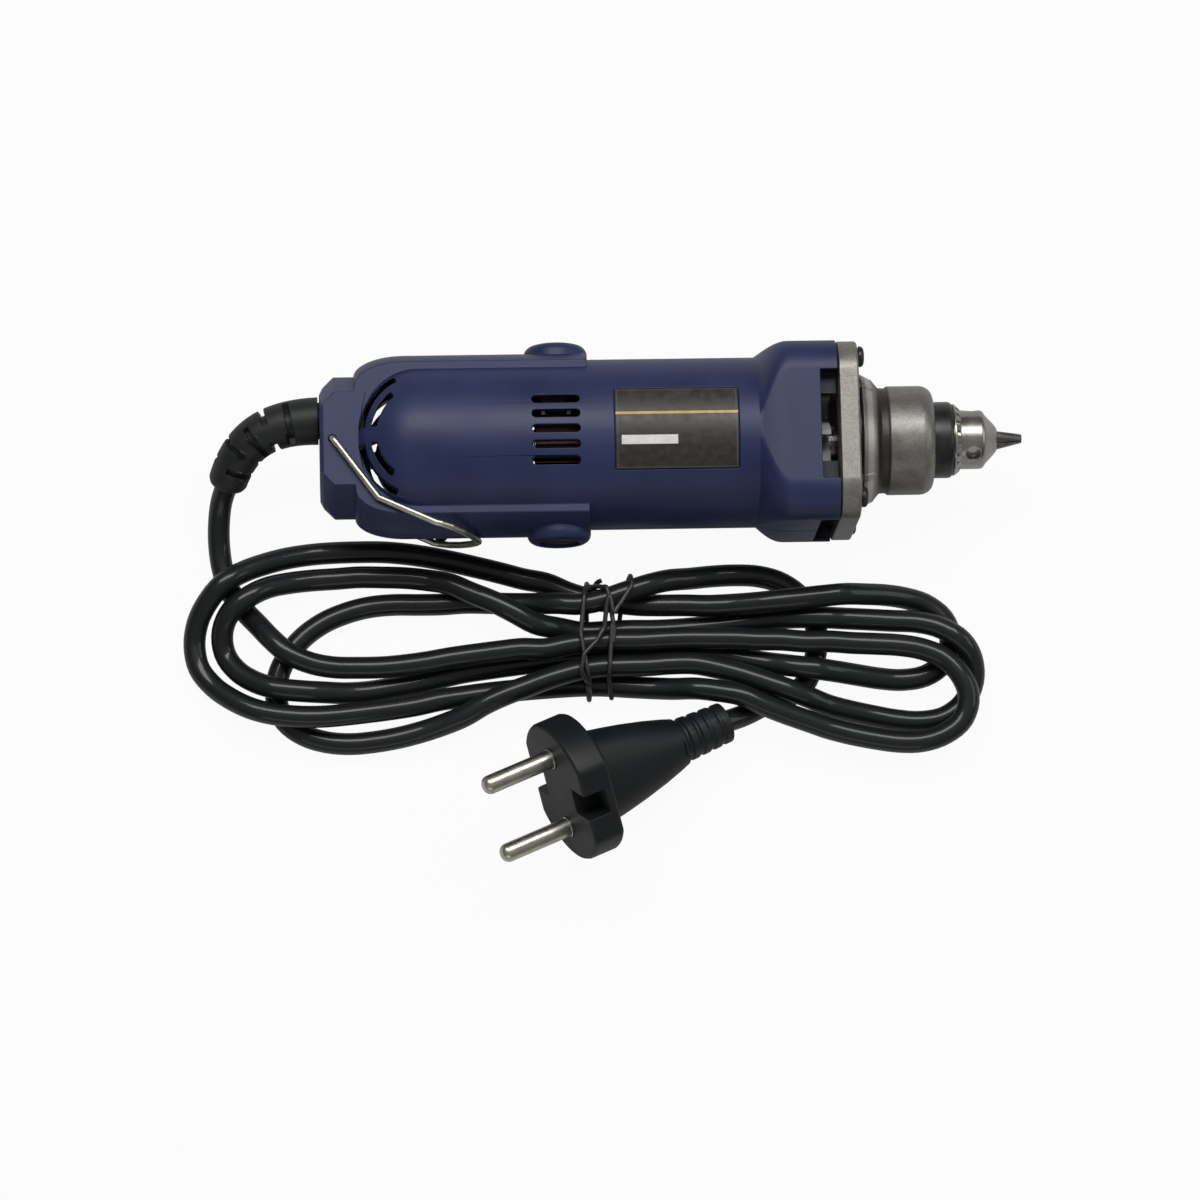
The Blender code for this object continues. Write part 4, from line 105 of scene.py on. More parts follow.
# Points along the cord's middle line, in mm
CORD_ROUTE = [
    (-111.6, -6.5, 13.0), (-113.2, -10.6, 8.9), (-113.9, -15.6, 5.7), (-113.9, -21.1, 3.5),
    (-113.1, -26.9, 2.8), (-111.2, -32.5, 2.8), (-107.8, -37.4, 3.0), (-104.3, -41.6, 5.2),
    (-101.0, -45.7, 8.0), (-96.8, -49.6, 9.2), (-91.4, -52.0, 8.8), (-85.6, -53.1, 8.3),
    (-79.7, -53.2, 7.6), (-73.7, -53.2, 7.7), (-67.7, -52.8, 7.9), (-61.8, -52.1, 8.1), (-55.9, -51.2, 8.5),
    (-49.9, -50.5, 8.8), (-44.0, -49.9, 9.2), (-38.1, -49.4, 9.7), (-32.3, -49.7, 10.4),
    (-26.2, -48.6, 10.7), (-20.3, -48.0, 10.6), (-14.4, -47.8, 10.5), (-8.4, -47.8, 10.3),
    (-2.5, -47.5, 10.0), (3.6, -47.3, 9.6), (9.5, -47.4, 9.5), (15.4, -47.5, 9.4), (21.4, -47.9, 9.5),
    (27.3, -48.1, 9.8), (33.3, -48.7, 10.0), (39.3, -48.7, 9.7), (45.3, -49.1, 9.1), (51.2, -49.4, 9.0),
    (57.2, -49.9, 9.3), (63.0, -51.0, 9.3), (68.5, -53.5, 9.3), (72.5, -57.9, 9.5), (74.3, -63.5, 9.2),
    (72.5, -69.1, 8.6), (67.8, -72.7, 8.6), (62.1, -74.4, 8.5), (56.2, -74.4, 8.4), (50.3, -73.5, 8.4),
    (44.5, -72.3, 8.5), (38.8, -70.8, 8.8), (33.2, -68.9, 9.7), (27.6, -67.0, 10.6), (22.2, -64.9, 11.5),
    (16.6, -62.4, 11.9), (11.1, -61.1, 10.8), (5.4, -60.2, 9.7), (-0.1, -59.8, 7.2), (-5.6, -59.2, 5.2),
    (-11.5, -58.7, 4.6), (-17.4, -58.3, 4.8), (-23.4, -58.2, 4.7), (-29.3, -58.4, 4.4), (-35.4, -58.7, 4.0),
    (-41.4, -59.1, 3.7), (-47.3, -59.7, 4.0), (-53.2, -60.5, 4.5), (-59.1, -61.4, 5.4), (-64.8, -62.7, 6.2),
    (-70.7, -63.7, 7.0), (-76.6, -64.5, 7.7), (-82.5, -65.2, 8.3), (-88.5, -65.7, 8.8), (-94.5, -65.6, 8.8),
    (-100.6, -64.9, 8.8), (-106.3, -63.2, 7.8), (-111.4, -60.4, 6.0), (-115.8, -56.8, 3.9),
    (-119.4, -51.9, 2.9), (-120.5, -45.9, 2.8), (-119.5, -40.3, 4.8), (-116.8, -35.5, 7.3),
    (-112.8, -31.2, 9.1), (-107.8, -28.1, 7.3), (-102.5, -25.9, 5.4), (-96.9, -24.2, 3.7),
    (-91.0, -23.2, 2.8), (-84.9, -22.8, 2.8), (-78.8, -22.7, 2.8), (-72.7, -22.8, 2.8), (-66.7, -23.4, 2.9),
    (-60.7, -24.4, 3.0), (-54.8, -25.7, 3.2), (-48.9, -27.2, 3.4), (-43.0, -28.8, 3.7), (-37.2, -30.5, 4.0),
    (-31.4, -31.8, 4.3), (-25.7, -34.4, 4.6), (-20.1, -36.1, 4.8), (-14.3, -37.0, 4.7), (-8.6, -37.8, 5.2),
    (-2.8, -38.2, 6.2), (3.0, -38.4, 7.0), (8.8, -38.8, 8.0), (14.5, -38.9, 9.4), (20.1, -38.9, 11.2),
    (25.8, -38.7, 12.9), (31.7, -38.3, 13.6), (37.6, -37.7, 13.4), (43.5, -37.1, 12.5), (48.8, -36.8, 10.0),
    (54.0, -36.6, 7.2), (59.3, -37.0, 4.8), (64.7, -38.5, 3.2), (69.2, -42.2, 2.8), (70.8, -47.7, 2.8),
    (68.9, -53.3, 2.8), (64.2, -56.7, 2.8), (58.4, -57.7, 2.8), (52.6, -57.4, 3.6), (47.0, -56.7, 5.1),
    (41.4, -56.0, 7.0), (35.8, -55.5, 9.2), (30.0, -54.5, 8.0), (24.4, -53.4, 5.9), (18.7, -52.2, 4.6),
    (12.8, -51.0, 4.0), (6.8, -50.5, 3.6), (0.7, -50.4, 3.9), (-5.4, -50.7, 4.3), (-11.4, -50.8, 4.6),
    (-17.5, -51.0, 4.8), (-23.5, -51.1, 4.7), (-29.5, -51.4, 4.4), (-35.5, -52.0, 4.0), (-41.4, -52.6, 3.6),
    (-47.3, -53.3, 3.3), (-53.2, -54.1, 3.0), (-59.2, -55.4, 2.9), (-65.0, -56.8, 2.8), (-70.9, -57.8, 3.2),
    (-76.7, -58.8, 4.2), (-82.5, -59.3, 5.6), (-88.2, -59.3, 7.5), (-94.1, -59.1, 8.9), (-99.9, -58.4, 9.1),
    (-105.2, -56.4, 7.2), (-109.7, -53.2, 5.2), (-112.8, -48.6, 3.8), (-113.4, -43.3, 5.7),
    (-111.2, -38.5, 8.5), (-106.6, -34.9, 9.4), (-101.7, -32.3, 7.5), (-96.3, -30.9, 5.5),
    (-90.7, -30.1, 4.3), (-84.8, -29.8, 4.3), (-79.0, -29.5, 4.6), (-73.1, -29.7, 5.0), (-67.3, -30.0, 5.3),
    (-61.5, -30.8, 6.0), (-56.0, -32.2, 7.9), (-50.7, -34.8, 9.3), (-45.2, -37.3, 10.3),
    (-39.9, -40.2, 10.5), (-34.5, -43.0, 9.5), (-28.5, -43.8, 6.8), (-22.7, -44.7, 5.2),
    (-16.6, -44.5, 4.8), (-10.4, -44.3, 4.6), (-4.3, -44.3, 4.2), (1.8, -44.0, 3.8), (8.0, -43.5, 3.5),
    (14.0, -43.1, 4.3), (19.9, -42.6, 5.7), (25.8, -42.2, 7.1), (31.7, -42.2, 8.4), (37.7, -42.4, 8.9),
    (43.6, -42.6, 8.0), (49.7, -42.9, 7.5), (55.7, -43.3, 7.4), (61.8, -43.8, 8.2), (67.6, -45.4, 8.8),
    (72.8, -48.7, 8.9), (75.8, -53.2, 6.1), (76.1, -58.7, 3.6), (73.4, -64.0, 2.8), (68.4, -67.5, 2.8),
    (62.4, -68.5, 2.8), (56.4, -68.0, 2.8), (50.5, -66.9, 3.2), (44.6, -65.7, 4.1), (38.9, -64.3, 5.4),
    (33.8, -62.6, 8.2), (28.2, -60.6, 9.5), (22.5, -58.5, 9.4), (16.8, -56.5, 9.1), (11.1, -54.9, 8.9),
    (5.2, -53.7, 9.0), (-0.9, -53.7, 9.5), (-6.8, -54.1, 9.8), (-12.9, -54.2, 10.1), (-18.9, -54.4, 10.2),
    (-24.9, -55.3, 10.3), (-30.7, -56.9, 10.6), (-36.5, -58.9, 10.4), (-42.2, -60.9, 10.2),
    (-47.7, -63.2, 9.4), (-53.0, -66.0, 7.9), (-58.4, -67.8, 5.7), (-63.9, -69.3, 4.2), (-69.7, -70.6, 3.6),
    (-75.6, -71.5, 3.4), (-81.6, -71.9, 3.2), (-87.6, -71.3, 3.0), (-93.3, -69.4, 2.9), (-98.0, -65.7, 2.8),
    (-100.1, -60.0, 2.8), (-99.4, -53.8, 2.8), (-96.6, -48.4, 2.8), (-92.6, -44.0, 2.8),
    (-87.6, -40.6, 2.8), (-82.0, -38.3, 2.8), (-76.2, -36.9, 2.8), (-70.2, -36.4, 2.8), (-64.1, -36.5, 2.9),
    (-58.1, -36.5, 2.9), (-52.0, -36.2, 3.1), (-46.2, -36.4, 3.3), (-40.4, -36.9, 4.6), (-34.8, -37.3, 6.3),
    (-29.1, -37.7, 9.0), (-23.4, -38.3, 10.5), (-17.6, -37.4, 11.2), (-12.0, -35.6, 11.2),
    (-6.3, -33.7, 10.4), (-0.8, -32.2, 8.5), (4.7, -31.4, 6.0), (10.4, -30.6, 4.3), (16.3, -30.3, 3.8),
    (22.3, -30.6, 3.4), (28.0, -32.3, 3.2), (32.9, -35.9, 3.0), (36.0, -41.0, 2.8), (36.9, -47.2, 2.8),
    (35.8, -53.2, 2.8), (33.1, -58.7, 2.8), (28.3, -62.0, 3.2), (23.1, -63.9, 5.1), (17.7, -66.6, 6.2),
    (12.6, -68.7, 8.7),
]


# ---- solids ----

def mm(*values):
    """Lengths given in millimetres, one by one or in rows."""
    return [tuple(c * MM for c in v) if isinstance(v, tuple) else v * MM for v in values]


def quarter(steps, first=0):
    """Angles of a quarter turn in even steps."""
    return [k / steps * pi / 2 for k in range(first, steps + 1)]


def circle(sides, shift=0.5):
    """Angles of a full turn in even steps."""
    return [2 * pi * (k + shift) / sides for k in range(sides)]


def at(x, y, z):
    """A point counted from the tool's axis."""
    return Vector((x, y, z)) + AXIS


def linked(bm, name="piece"):
    mesh = bpy.data.meshes.new(name)
    bm.to_mesh(mesh)
    bm.free()
    item = bpy.data.objects.new(name, mesh)
    bpy.context.scene.collection.objects.link(item)
    return item


def outward(bm):
    bmesh.ops.recalc_face_normals(bm, faces=bm.faces)
    if bm.calc_volume(signed=True) < 0:
        bmesh.ops.reverse_faces(bm, faces=bm.faces)
    return bm


def loft(rings, loop=False):
    bm = bmesh.new()
    rows = [[bm.verts.new(p) for p in ring] for ring in rings]
    pairs = list(zip(rows, rows[1:]))
    if loop:
        pairs.append((rows[-1], rows[0]))
    for one, other in pairs:
        for i in range(len(one)):
            j = (i + 1) % len(one)
            bm.faces.new((one[i], one[j], other[j], other[i]))
    if not loop:
        bm.faces.new(rows[0])
        bm.faces.new(reversed(rows[-1]))
    bmesh.ops.remove_doubles(bm, verts=bm.verts, dist=0.005 * MM)
    return linked(outward(bm))


def turned(profile, sides=SIDES, ring=False, centre=AXIS, direction=ALONG):
    """A (station, radius) profile turned about a line; a ring's profile is a closed outline."""
    turn = ALONG.rotation_difference(direction).to_matrix()
    return loft([[centre + turn @ Vector((station, radius * cos(a), radius * sin(a))) for a in circle(sides)]
                 for station, radius in profile], loop=ring)


def rod(start, end, radius, sides=48):
    line = end - start
    return turned([(0, radius), (line.length, radius)], sides, centre=start, direction=line.normalized())


def slab(x0, x1, y0, y1, z0, z1):
    """A block whose corners are counted from the tool's axis."""
    return loft([[at(x, y0, z0), at(x, y1, z0), at(x, y1, z1), at(x, y0, z1)] for x in (x0, x1)])


def pad(x, half_length, half_width, low, high):
    """A block with its middle at X on the tool's axis."""
    return slab(x - half_length, x + half_length, -half_width, half_width, low, high)


def upright(sections):
    """A loft through flat outlines, each given as its X and its (y, z) corners."""
    return loft([[Vector((x, y, z)) for y, z in outline] for x, outline in sections])


def raised(outline, ends, middle=ORIGIN):
    """A straight loft of an (x, y) outline from one height to another."""
    return loft([[Vector((x, y, z)) + middle for x, y in outline] for z in ends])


def group(*items):
    bm = bmesh.new()
    for item in items:
        bm.from_mesh(item.data)
    for item in items:
        bpy.data.objects.remove(item, do_unlink=True)
    return linked(bm)


def combine(target, others, operation):
    other = group(*others)
    change = target.modifiers.new("cut", "BOOLEAN")
    change.operation = operation
    change.solver = "EXACT"
    change.use_self = len(others) > 1
    change.object = other
    target.data = plain_mesh(target)
    target.modifiers.clear()
    bpy.data.objects.remove(other, do_unlink=True)
    bm = bmesh.new()
    bm.from_mesh(target.data)
    bmesh.ops.remove_doubles(bm, verts=bm.verts, dist=0.002 * MM)
    bmesh.ops.dissolve_degenerate(bm, edges=bm.edges, dist=0.002 * MM)
    bm.to_mesh(target.data)
    bm.free()
    return target


def plain_mesh(item):
    bpy.context.view_layer.update()
    seen = item.evaluated_get(bpy.context.evaluated_depsgraph_get())
    return bpy.data.meshes.new_from_object(seen)


def join(target, *others):
    return combine(target, others, "UNION")


def cut(target, *others):
    return combine(target, others, "DIFFERENCE")


def copy_of(item):
    twin = item.copy()
    twin.data = item.data.copy()
    bpy.context.scene.collection.objects.link(twin)
    return twin


def flipped(item, way):
    """A mirror copy across the axis, along Y or Z."""
    twin = copy_of(item)
    twin.data.transform(Matrix.Translation(AXIS) @ Matrix.Scale(-1, 4, way) @ Matrix.Translation(-AXIS))
    twin.data.flip_normals()
    return twin


def tube(path, radius, sides, name="tube"):
    """A round tube along points, its sections carried along without twist, with its own UV map.

    U is the distance along the tube and V the share of the way round.
    """
    radii = radius if isinstance(radius, list) else [radius] * len(path)
    ahead = (path[1] - path[0]).normalized()
    side = ahead.orthogonal().normalized()
    bm = bmesh.new()
    layer = bm.loops.layers.uv.new("along")
    rows = []
    far = [0.0]
    for k, point in enumerate(path):
        way = (path[min(k + 1, len(path) - 1)] - path[max(k - 1, 0)]).normalized()
        side = (ahead.rotation_difference(way) @ side).normalized()
        ahead = way
        up = ahead.cross(side).normalized()
        rows.append([bm.verts.new(point + (side * cos(a) + up * sin(a)) * radii[k]) for a in circle(sides, 0)])
        if k:
            far.append(far[-1] + (point - path[k - 1]).length)
    for row, other, here, there in zip(rows, rows[1:], far, far[1:]):
        for s in range(sides):
            n = (s + 1) % sides
            face = bm.faces.new((row[s], row[n], other[n], other[s]))
            for loop, (u, v) in zip(face.loops, ((here, s), (here, s + 1), (there, s + 1), (there, s))):
                loop[layer].uv = (u, v / sides)
    bm.faces.new(rows[0][::-1])
    bm.faces.new(rows[-1])
    return linked(outward(bm), name)


def length_of(path):
    return sum((b - a).length for a, b in zip(path, path[1:]))


def smooth(points, step):
    """Even points, a step apart, on the smooth curve through the given ones."""
    p = [points[0] * 2 - points[1], *points, points[-1] * 2 - points[-2]]
    fine = []
    for i in range(1, len(p) - 2):
        a, b, c, d = p[i - 1:i + 3]
        for k in range(8):
            t = k / 8
            fine.append((b * 2 + (c - a) * t + (a * 2 - b * 5 + c * 4 - d) * t ** 2
                         + (b * 3 - a - c * 3 + d) * t ** 3) / 2)
    fine.append(p[-2])
    total = sum((q - r).length for q, r in zip(fine[1:], fine))
    count = max(2, round(total / step))
    even = [fine[0]]
    walked = 0.0
    for q, r in zip(fine, fine[1:]):
        run = (r - q).length
        while len(even) < count and walked + run >= total * len(even) / count:
            even.append(q.lerp(r, (total * len(even) / count - walked) / run))
        walked += run
    even.append(fine[-1])
    return even


# ---- copies made by geometry nodes ----

class Nodes:
    """Adds nodes to a tree."""

    def __init__(self, tree):
        self.tree = tree

    def node(self, kind, links=(), **settings):
        """A new node; its inputs take either another node's output or a value."""
        made = self.tree.nodes.new(kind)
        for key, value in settings.items():
            setattr(made, key, value)
        for key, source in dict(links).items():
            if hasattr(source, "is_output"):
                self.tree.links.new(source, made.inputs[key])
            else:
                made.inputs[key].default_value = source
        return made

    def first(self, kind, links=(), **settings):
        """The first output of a new node."""
        return self.node(kind, links, **settings).outputs[0]

    def number(self, how, *values):
        return self.first("ShaderNodeMath", dict(enumerate(values)), operation=how)


class Recipe(Nodes):
    """A geometry node tree with named inputs; its last steps make copies real and set the finish."""

    def __init__(self, name, **inputs):
        super().__init__(bpy.data.node_groups.new(name, "GeometryNodeTree"))
        face = self.tree.interface
        face.new_socket(name="Geometry", in_out="INPUT", socket_type="NodeSocketGeometry")
        face.new_socket(name="Geometry", in_out="OUTPUT", socket_type="NodeSocketGeometry")
        self.keys = {}
        for label, kind in {**inputs, "finish": "Material"}.items():
            made = face.new_socket(name=label, in_out="INPUT", socket_type="NodeSocket" + kind)
            self.keys[label] = made.identifier
        self.given = self.tree.nodes.new("NodeGroupInput").outputs

    def copies(self, spots, item, **places):
        """Copies of a piece on points, made real."""
        made = self.first("GeometryNodeInstanceOnPoints", {"Points": spots, "Instance": item, **places})
        real = self.first("GeometryNodeRealizeInstances", {0: made})
        done = self.first("GeometryNodeSetMaterial", {0: real, "Material": self.given["finish"]})
        self.tree.links.new(done, self.tree.nodes.new("NodeGroupOutput").inputs[0])
        return self

    def made_from(self, item, finish, **values):
        """Runs the tree on a piece and gives back one plain mesh piece."""
        change = item.modifiers.new("copies", "NODES")
        change.node_group = self.tree
        for label, value in {**values, "finish": FINISHES[finish]}.items():
            change[self.keys[label]] = value
        item.data = plain_mesh(item)
        item.modifiers.clear()
        return item


def ring_recipe():
    """Copies turned about the X axis, then carried to their place."""
    r = Recipe("copies_round_axis", count="Int", first="Float", turn="Float", middle="Vector")
    given = r.given
    turned_by = r.number("MULTIPLY", r.first("GeometryNodeInputIndex"), given["turn"])
    euler = r.first("ShaderNodeCombineXYZ", {0: r.number("ADD", turned_by, given["first"])})
    turn = r.first("FunctionNodeEulerToRotation", {0: euler})
    spots = r.first("GeometryNodePoints", {"Count": given["count"], "Position": given["middle"]})
    return r.copies(spots, given["Geometry"], Rotation=turn)


def row_recipe():
    """Copies in a straight row."""
    r = Recipe("copies_in_row", count="Int", start="Vector", step="Vector")
    given = r.given
    spots = r.first("GeometryNodeMeshLine", {"Count": given["count"], "Start Location": given["start"],
                                             "Offset": given["step"]})
    return r.copies(spots, given["Geometry"])


def path_recipe():
    """Rings threaded on a path, each a round bar of its own radius."""
    r = Recipe("rings_on_path", count="Int", ring_radius="Float", bar_radius="Float", shrink="Float")
    given = r.given
    line = r.first("GeometryNodeMeshToCurve", {0: given["Geometry"]})
    spots = r.first("GeometryNodeResampleCurve", {"Curve": line, "Count": given["count"]})
    way = r.first("GeometryNodeInputTangent")
    turn = r.first("FunctionNodeAlignRotationToVector", {"Vector": way}, axis="Z")
    less = r.number("MULTIPLY", r.first("GeometryNodeInputIndex"), given["shrink"])
    hoop, bar = (r.first("GeometryNodeCurvePrimitiveCircle", {"Resolution": sides, "Radius": given[radius]})
                 for sides, radius in ((48, "ring_radius"), (12, "bar_radius")))
    rib = r.first("GeometryNodeCurveToMesh", {"Curve": hoop, "Profile Curve": bar})
    return r.copies(spots, rib, Rotation=turn, Scale=r.number("SUBTRACT", 1.0, less))


# ---- finishes ----

class Finish(Nodes):
    """One procedural finish: a shader whose colour, roughness and bump come from patterns."""

    def __init__(self, name, colour, roughness, metallic=0.0, coat=0.0, coat_roughness=0.1, uv=None,
                 specular=0.5):
        self.material = bpy.data.materials.new(name)
        self.material.use_nodes = True
        super().__init__(self.material.node_tree)
        self.shader = self.tree.nodes["Principled BSDF"].inputs
        for key, value in (("Base Color", (*colour, 1)), ("Roughness", roughness), ("Metallic", metallic),
                           ("Coat Weight", coat), ("Coat Roughness", coat_roughness),
                           ("Specular IOR Level", specular)):
            self.shader[key].default_value = value
        if uv:
            self.place = self.first("ShaderNodeUVMap", uv_map=uv)
        else:
            self.place = self.node("ShaderNodeTexCoord").outputs["Object"]

    def centred(self, centre):
        """The pattern's place, counted from a point."""
        return self.first("ShaderNodeMapping", {"Vector": self.place, "Location": tuple(-c for c in centre)})

    def noise(self, size, detail=2.0, stretch=(1, 1, 1)):
        """Cloudy pattern whose clouds are about this size, in metres."""
        spot = self.first("ShaderNodeMapping", {"Vector": self.place, "Scale": stretch})
        return self.first("ShaderNodeTexNoise", {"Vector": spot, "Scale": 1 / size, "Detail": detail})

    def lines(self, pitch, place, axis="X", distortion=0.0):
        """Fine parallel lines across an axis."""
        return self.node("ShaderNodeTexWave", {"Vector": place, "Scale": pi / 10 / pitch,
                                               "Distortion": distortion, "Detail": 1.0},
                         bands_direction=axis).outputs["Fac"]

    def spread(self, value, low, high, out_low=0.0, out_high=1.0):
        """Carries a pattern from one range to another."""
        return self.first("ShaderNodeMapRange", {"Value": value, "From Min": low, "From Max": high,
                                                 "To Min": out_low, "To Max": out_high})

    def blend(self, share, one, other):
        """Mixes two colours."""
        one, other = ((*c, 1) if isinstance(c, tuple) else c for c in (one, other))
        return self.node("ShaderNodeMix", {0: share, 6: one, 7: other}, data_type="RGBA").outputs[2]

    def sum(self, one, other):
        return self.number("ADD", one, other)

    def times(self, one, other):
        return self.number("MULTIPLY", one, other)

    def band(self, value, *edges):
        """One inside a band, whose soft edges are given in millimetres: rise from and to, fall from and to."""
        a, b, c, d = mm(*edges)
        return self.times(self.spread(value, a, b), self.spread(value, c, d, 1.0, 0.0))

    def axes(self, place=None):
        return self.node("ShaderNodeSeparateXYZ", {0: place or self.place}).outputs

    def set(self, key, value):
        self.tree.links.new(value, self.shader[key])

    def paint(self, share, low, high, one, other):
        """Colour that goes from one to the other as a pattern rises."""
        self.set("Base Color", self.blend(self.spread(share, low, high), one, other))

    def gloss(self, pattern, least, most, low=0.3, high=0.7):
        self.set("Roughness", self.spread(pattern, low, high, least, most))

    def bump(self, height, depth, strength):
        """The last step: gives back the finished material."""
        self.set("Normal", self.first("ShaderNodeBump", {"Height": height, "Distance": depth,
                                                         "Strength": strength}))
        return self.material


def moulded_plastic(name, colour, deep, roughness, grain, depth, spread=0.05, painted_window_shade=False):
    """Injection-moulded plastic: spark-eroded grain, faint clouds in the colour and the gloss; optionally,
    painted shade: near-black faces inside the head's air windows.
    """
    f = Finish(name, colour, roughness, specular=0.3)
    clouds = f.noise(14 * MM, 3.0)
    paint = f.blend(f.spread(clouds, 0.35, 0.65), deep, colour)
    if painted_window_shade:
        # Painted shade: the faces inside the head's air windows are coloured near-black, standing in for the
        # shade there.
        split = f.axes(f.centred(tuple(AXIS)))
        sides = [f.number("ABSOLUTE", split[k]) for k in (1, 2)]
        far = f.spread(f.number("MAXIMUM", *sides), *mm(22.2, 22.5), 1.0, 0.0)
        near = f.spread(f.number("MINIMUM", *sides), WINDOW_HALF, WINDOW_HALF + 0.1 * MM, 1.0, 0.0)
        front = f.spread(split[0], WINDOW_X + 0.05 * MM, WINDOW_X + 0.15 * MM)
        paint = f.blend(f.times(front, f.times(far, near)), paint, (0.004, 0.005, 0.009))
    f.set("Base Color", paint)
    fine = f.noise(grain, 2.0)
    f.gloss(f.sum(clouds, fine), roughness - spread, roughness + spread, 0.7, 1.3)
    return f.bump(fine, depth, 0.5)


def cast_aluminium():
    """Blasted casting with turned faces on the collar and the nose; the grooves either side of the collar ring
    carry painted shade, and the ring's lighter band is partly a painted highlight.
    """
    light, dark = (0.235, 0.225, 0.205), (0.15, 0.143, 0.13)
    f = Finish("cast_aluminium", light, 0.42, 0.75)
    grain = f.noise(0.55 * MM, 3.0)
    clouds = f.noise(6 * MM, 3.0)
    x = f.axes()[0]
    # Painted shade: the step from the collar ring down to the nose and the groove between flange and collar are
    # darkened in the colour.
    root = f.band(x, 50.4, 51.2, 53.9, 54.6)
    flange_groove_shade = f.band(x, 45.9, 46.2, 46.9, 47.3)
    # The collar ring's band is lighter: partly its turned face, partly a painted highlight.
    bright = f.band(x, 48.0, 48.5, 49.5, 50.2)
    painted_groove_shade = f.sum(f.times(root, 0.93), f.times(flange_groove_shade, 0.8))
    cast = f.blend(f.spread(f.sum(grain, clouds), 0.75, 1.25), dark, light)
    metal = f.blend(f.times(bright, 0.8), cast, (0.46, 0.45, 0.42))
    f.set("Base Color", f.blend(painted_groove_shade, metal, (0.035, 0.033, 0.03)))
    f.gloss(clouds, 0.36, 0.5)
    turned_lines = f.lines(0.35 * MM, f.centred((COLLAR_X, 0, 0)), distortion=0.6)
    return f.bump(f.sum(grain, f.times(turned_lines, 0.35)), 0.05 * MM, 0.55)


def turned_steel(name, colour, stain, roughness, pitch, metallic=1.0, depth=0.004 * MM):
    """Machined steel: turning lines round the axis, a film of oil in clouds."""
    f = Finish(name, colour, roughness, metallic)
    clouds = f.noise(4 * MM, 3.0)
    lines = f.lines(pitch, f.centred((SLEEVE_FRONT_X, 0, 0)), distortion=0.8)
    f.paint(f.sum(clouds, f.times(lines, 0.2)), 0.4, 0.85, stain, colour)
    f.gloss(clouds, roughness - 0.04, roughness + 0.08)
    return f.bump(lines, depth, 0.6)


def plated(name, colour, dull, roughness):
    """Bright plated wire and pins: soft clouds and drawing marks."""
    f = Finish(name, colour, roughness, 1.0)
    f.paint(f.noise(3 * MM, 2.0), 0.35, 0.7, dull, colour)
    f.gloss(f.noise(0.9 * MM, 1.0), roughness - 0.02, roughness + 0.06)
    return f.material


def cord_vinyl():
    """Extruded vinyl: gloss with faint lines along the cord and slow waves in its gloss."""
    f = Finish("cord_vinyl", (0.008, 0.009, 0.010), 0.4, coat=0.4, coat_roughness=0.09, uv="along",
               specular=0.15)
    streaks, waves = (f.noise(1.0, stretch=stretch) for stretch in ((60, 14, 1), (25, 1, 1)))
    f.paint(waves, 0.3, 0.7, (0.006, 0.007, 0.0075), (0.010, 0.011, 0.012))
    f.gloss(f.sum(streaks, waves), 0.36, 0.5, 0.7, 1.3)
    return f.bump(streaks, 0.04 * MM, 0.35)


def label_foil():
    """Charcoal foil with a fine border, one gold rule and a blank white field."""
    f = Finish("label_foil", (0.025, 0.022, 0.018), 0.4, specular=0.35)
    x, y = f.axes()[:2]
    soft = 0.12

    def between(value, low, high):
        return f.band(value, low - soft / 2, low + soft / 2, high - soft / 2, high + soft / 2)

    inside = f.times(between(x, -14.45, 14.95), between(y, -9.7, 9.7))
    rim = f.number("SUBTRACT", f.times(between(x, -14.7, 15.2), between(y, -9.95, 9.95)), inside)
    gold = between(y, 3.3, 3.95)
    field = f.times(between(x, -13.6, 0.4), between(y, -4.3, -2.05))
    scuff = f.noise(1.8 * MM, 4.0)
    worn = f.spread(scuff, 0.3, 0.75, 1.0, 0.75)
    ground = f.blend(f.spread(scuff, 0.35, 0.7), (0.020, 0.018, 0.015), (0.034, 0.030, 0.025))
    ground = f.blend(f.times(rim, 0.35), ground, (0.12, 0.11, 0.10))
    ground = f.blend(f.times(gold, worn), ground, (0.56, 0.34, 0.06))
    f.set("Base Color", f.blend(f.times(field, worn), ground, (0.72, 0.71, 0.68)))
    f.gloss(scuff, 0.34, 0.5)
    return f.bump(f.sum(f.noise(0.3 * MM, 2.0), f.sum(gold, field)), 0.01 * MM, 0.4)


def wound_copper(name, pitch, axis):
    """Lacquered winding: fine wire turns laid side by side."""
    f = Finish(name, (0.035, 0.018, 0.012), 0.5, 0.2, coat=0.1)
    wires = f.lines(pitch, f.centred(tuple(AXIS)), axis, 0.5)
    f.paint(wires, 0.1, 0.8, (0.010, 0.006, 0.004), (0.040, 0.020, 0.012))
    f.gloss(f.noise(3 * MM), 0.45, 0.6)
    return f.bump(wires, 0.12 * MM, 0.8)


def laminated_steel():
    """Stacked sheets seen on edge, lightly rusted."""
    f = Finish("laminated_steel", (0.2, 0.2, 0.21), 0.45, 0.85)
    sheets = f.lines(0.5 * MM, f.centred((0, 0, 0)), "X")
    rust = f.noise(5 * MM, 4.0)
    f.paint(rust, 0.5, 0.75, f.blend(sheets, (0.12, 0.12, 0.125), (0.24, 0.24, 0.25)), (0.16, 0.10, 0.07))
    f.gloss(rust, 0.38, 0.6)
    return f.bump(sheets, 0.06 * MM, 0.7)


def plain_part(name, colour, other, roughness, metallic, size, depth=0.01 * MM, stretch=(1, 1, 1)):
    """A small part's finish: clouded colour, uneven gloss and fine grain."""
    f = Finish(name, colour, roughness, metallic)
    clouds = f.noise(size, 4.0, stretch)
    f.paint(clouds, 0.35, 0.65, other, colour)
    f.gloss(clouds, roughness - 0.06, roughness + 0.08)
    return f.bump(f.noise(size / 8, 2.0, stretch), depth, 0.5)


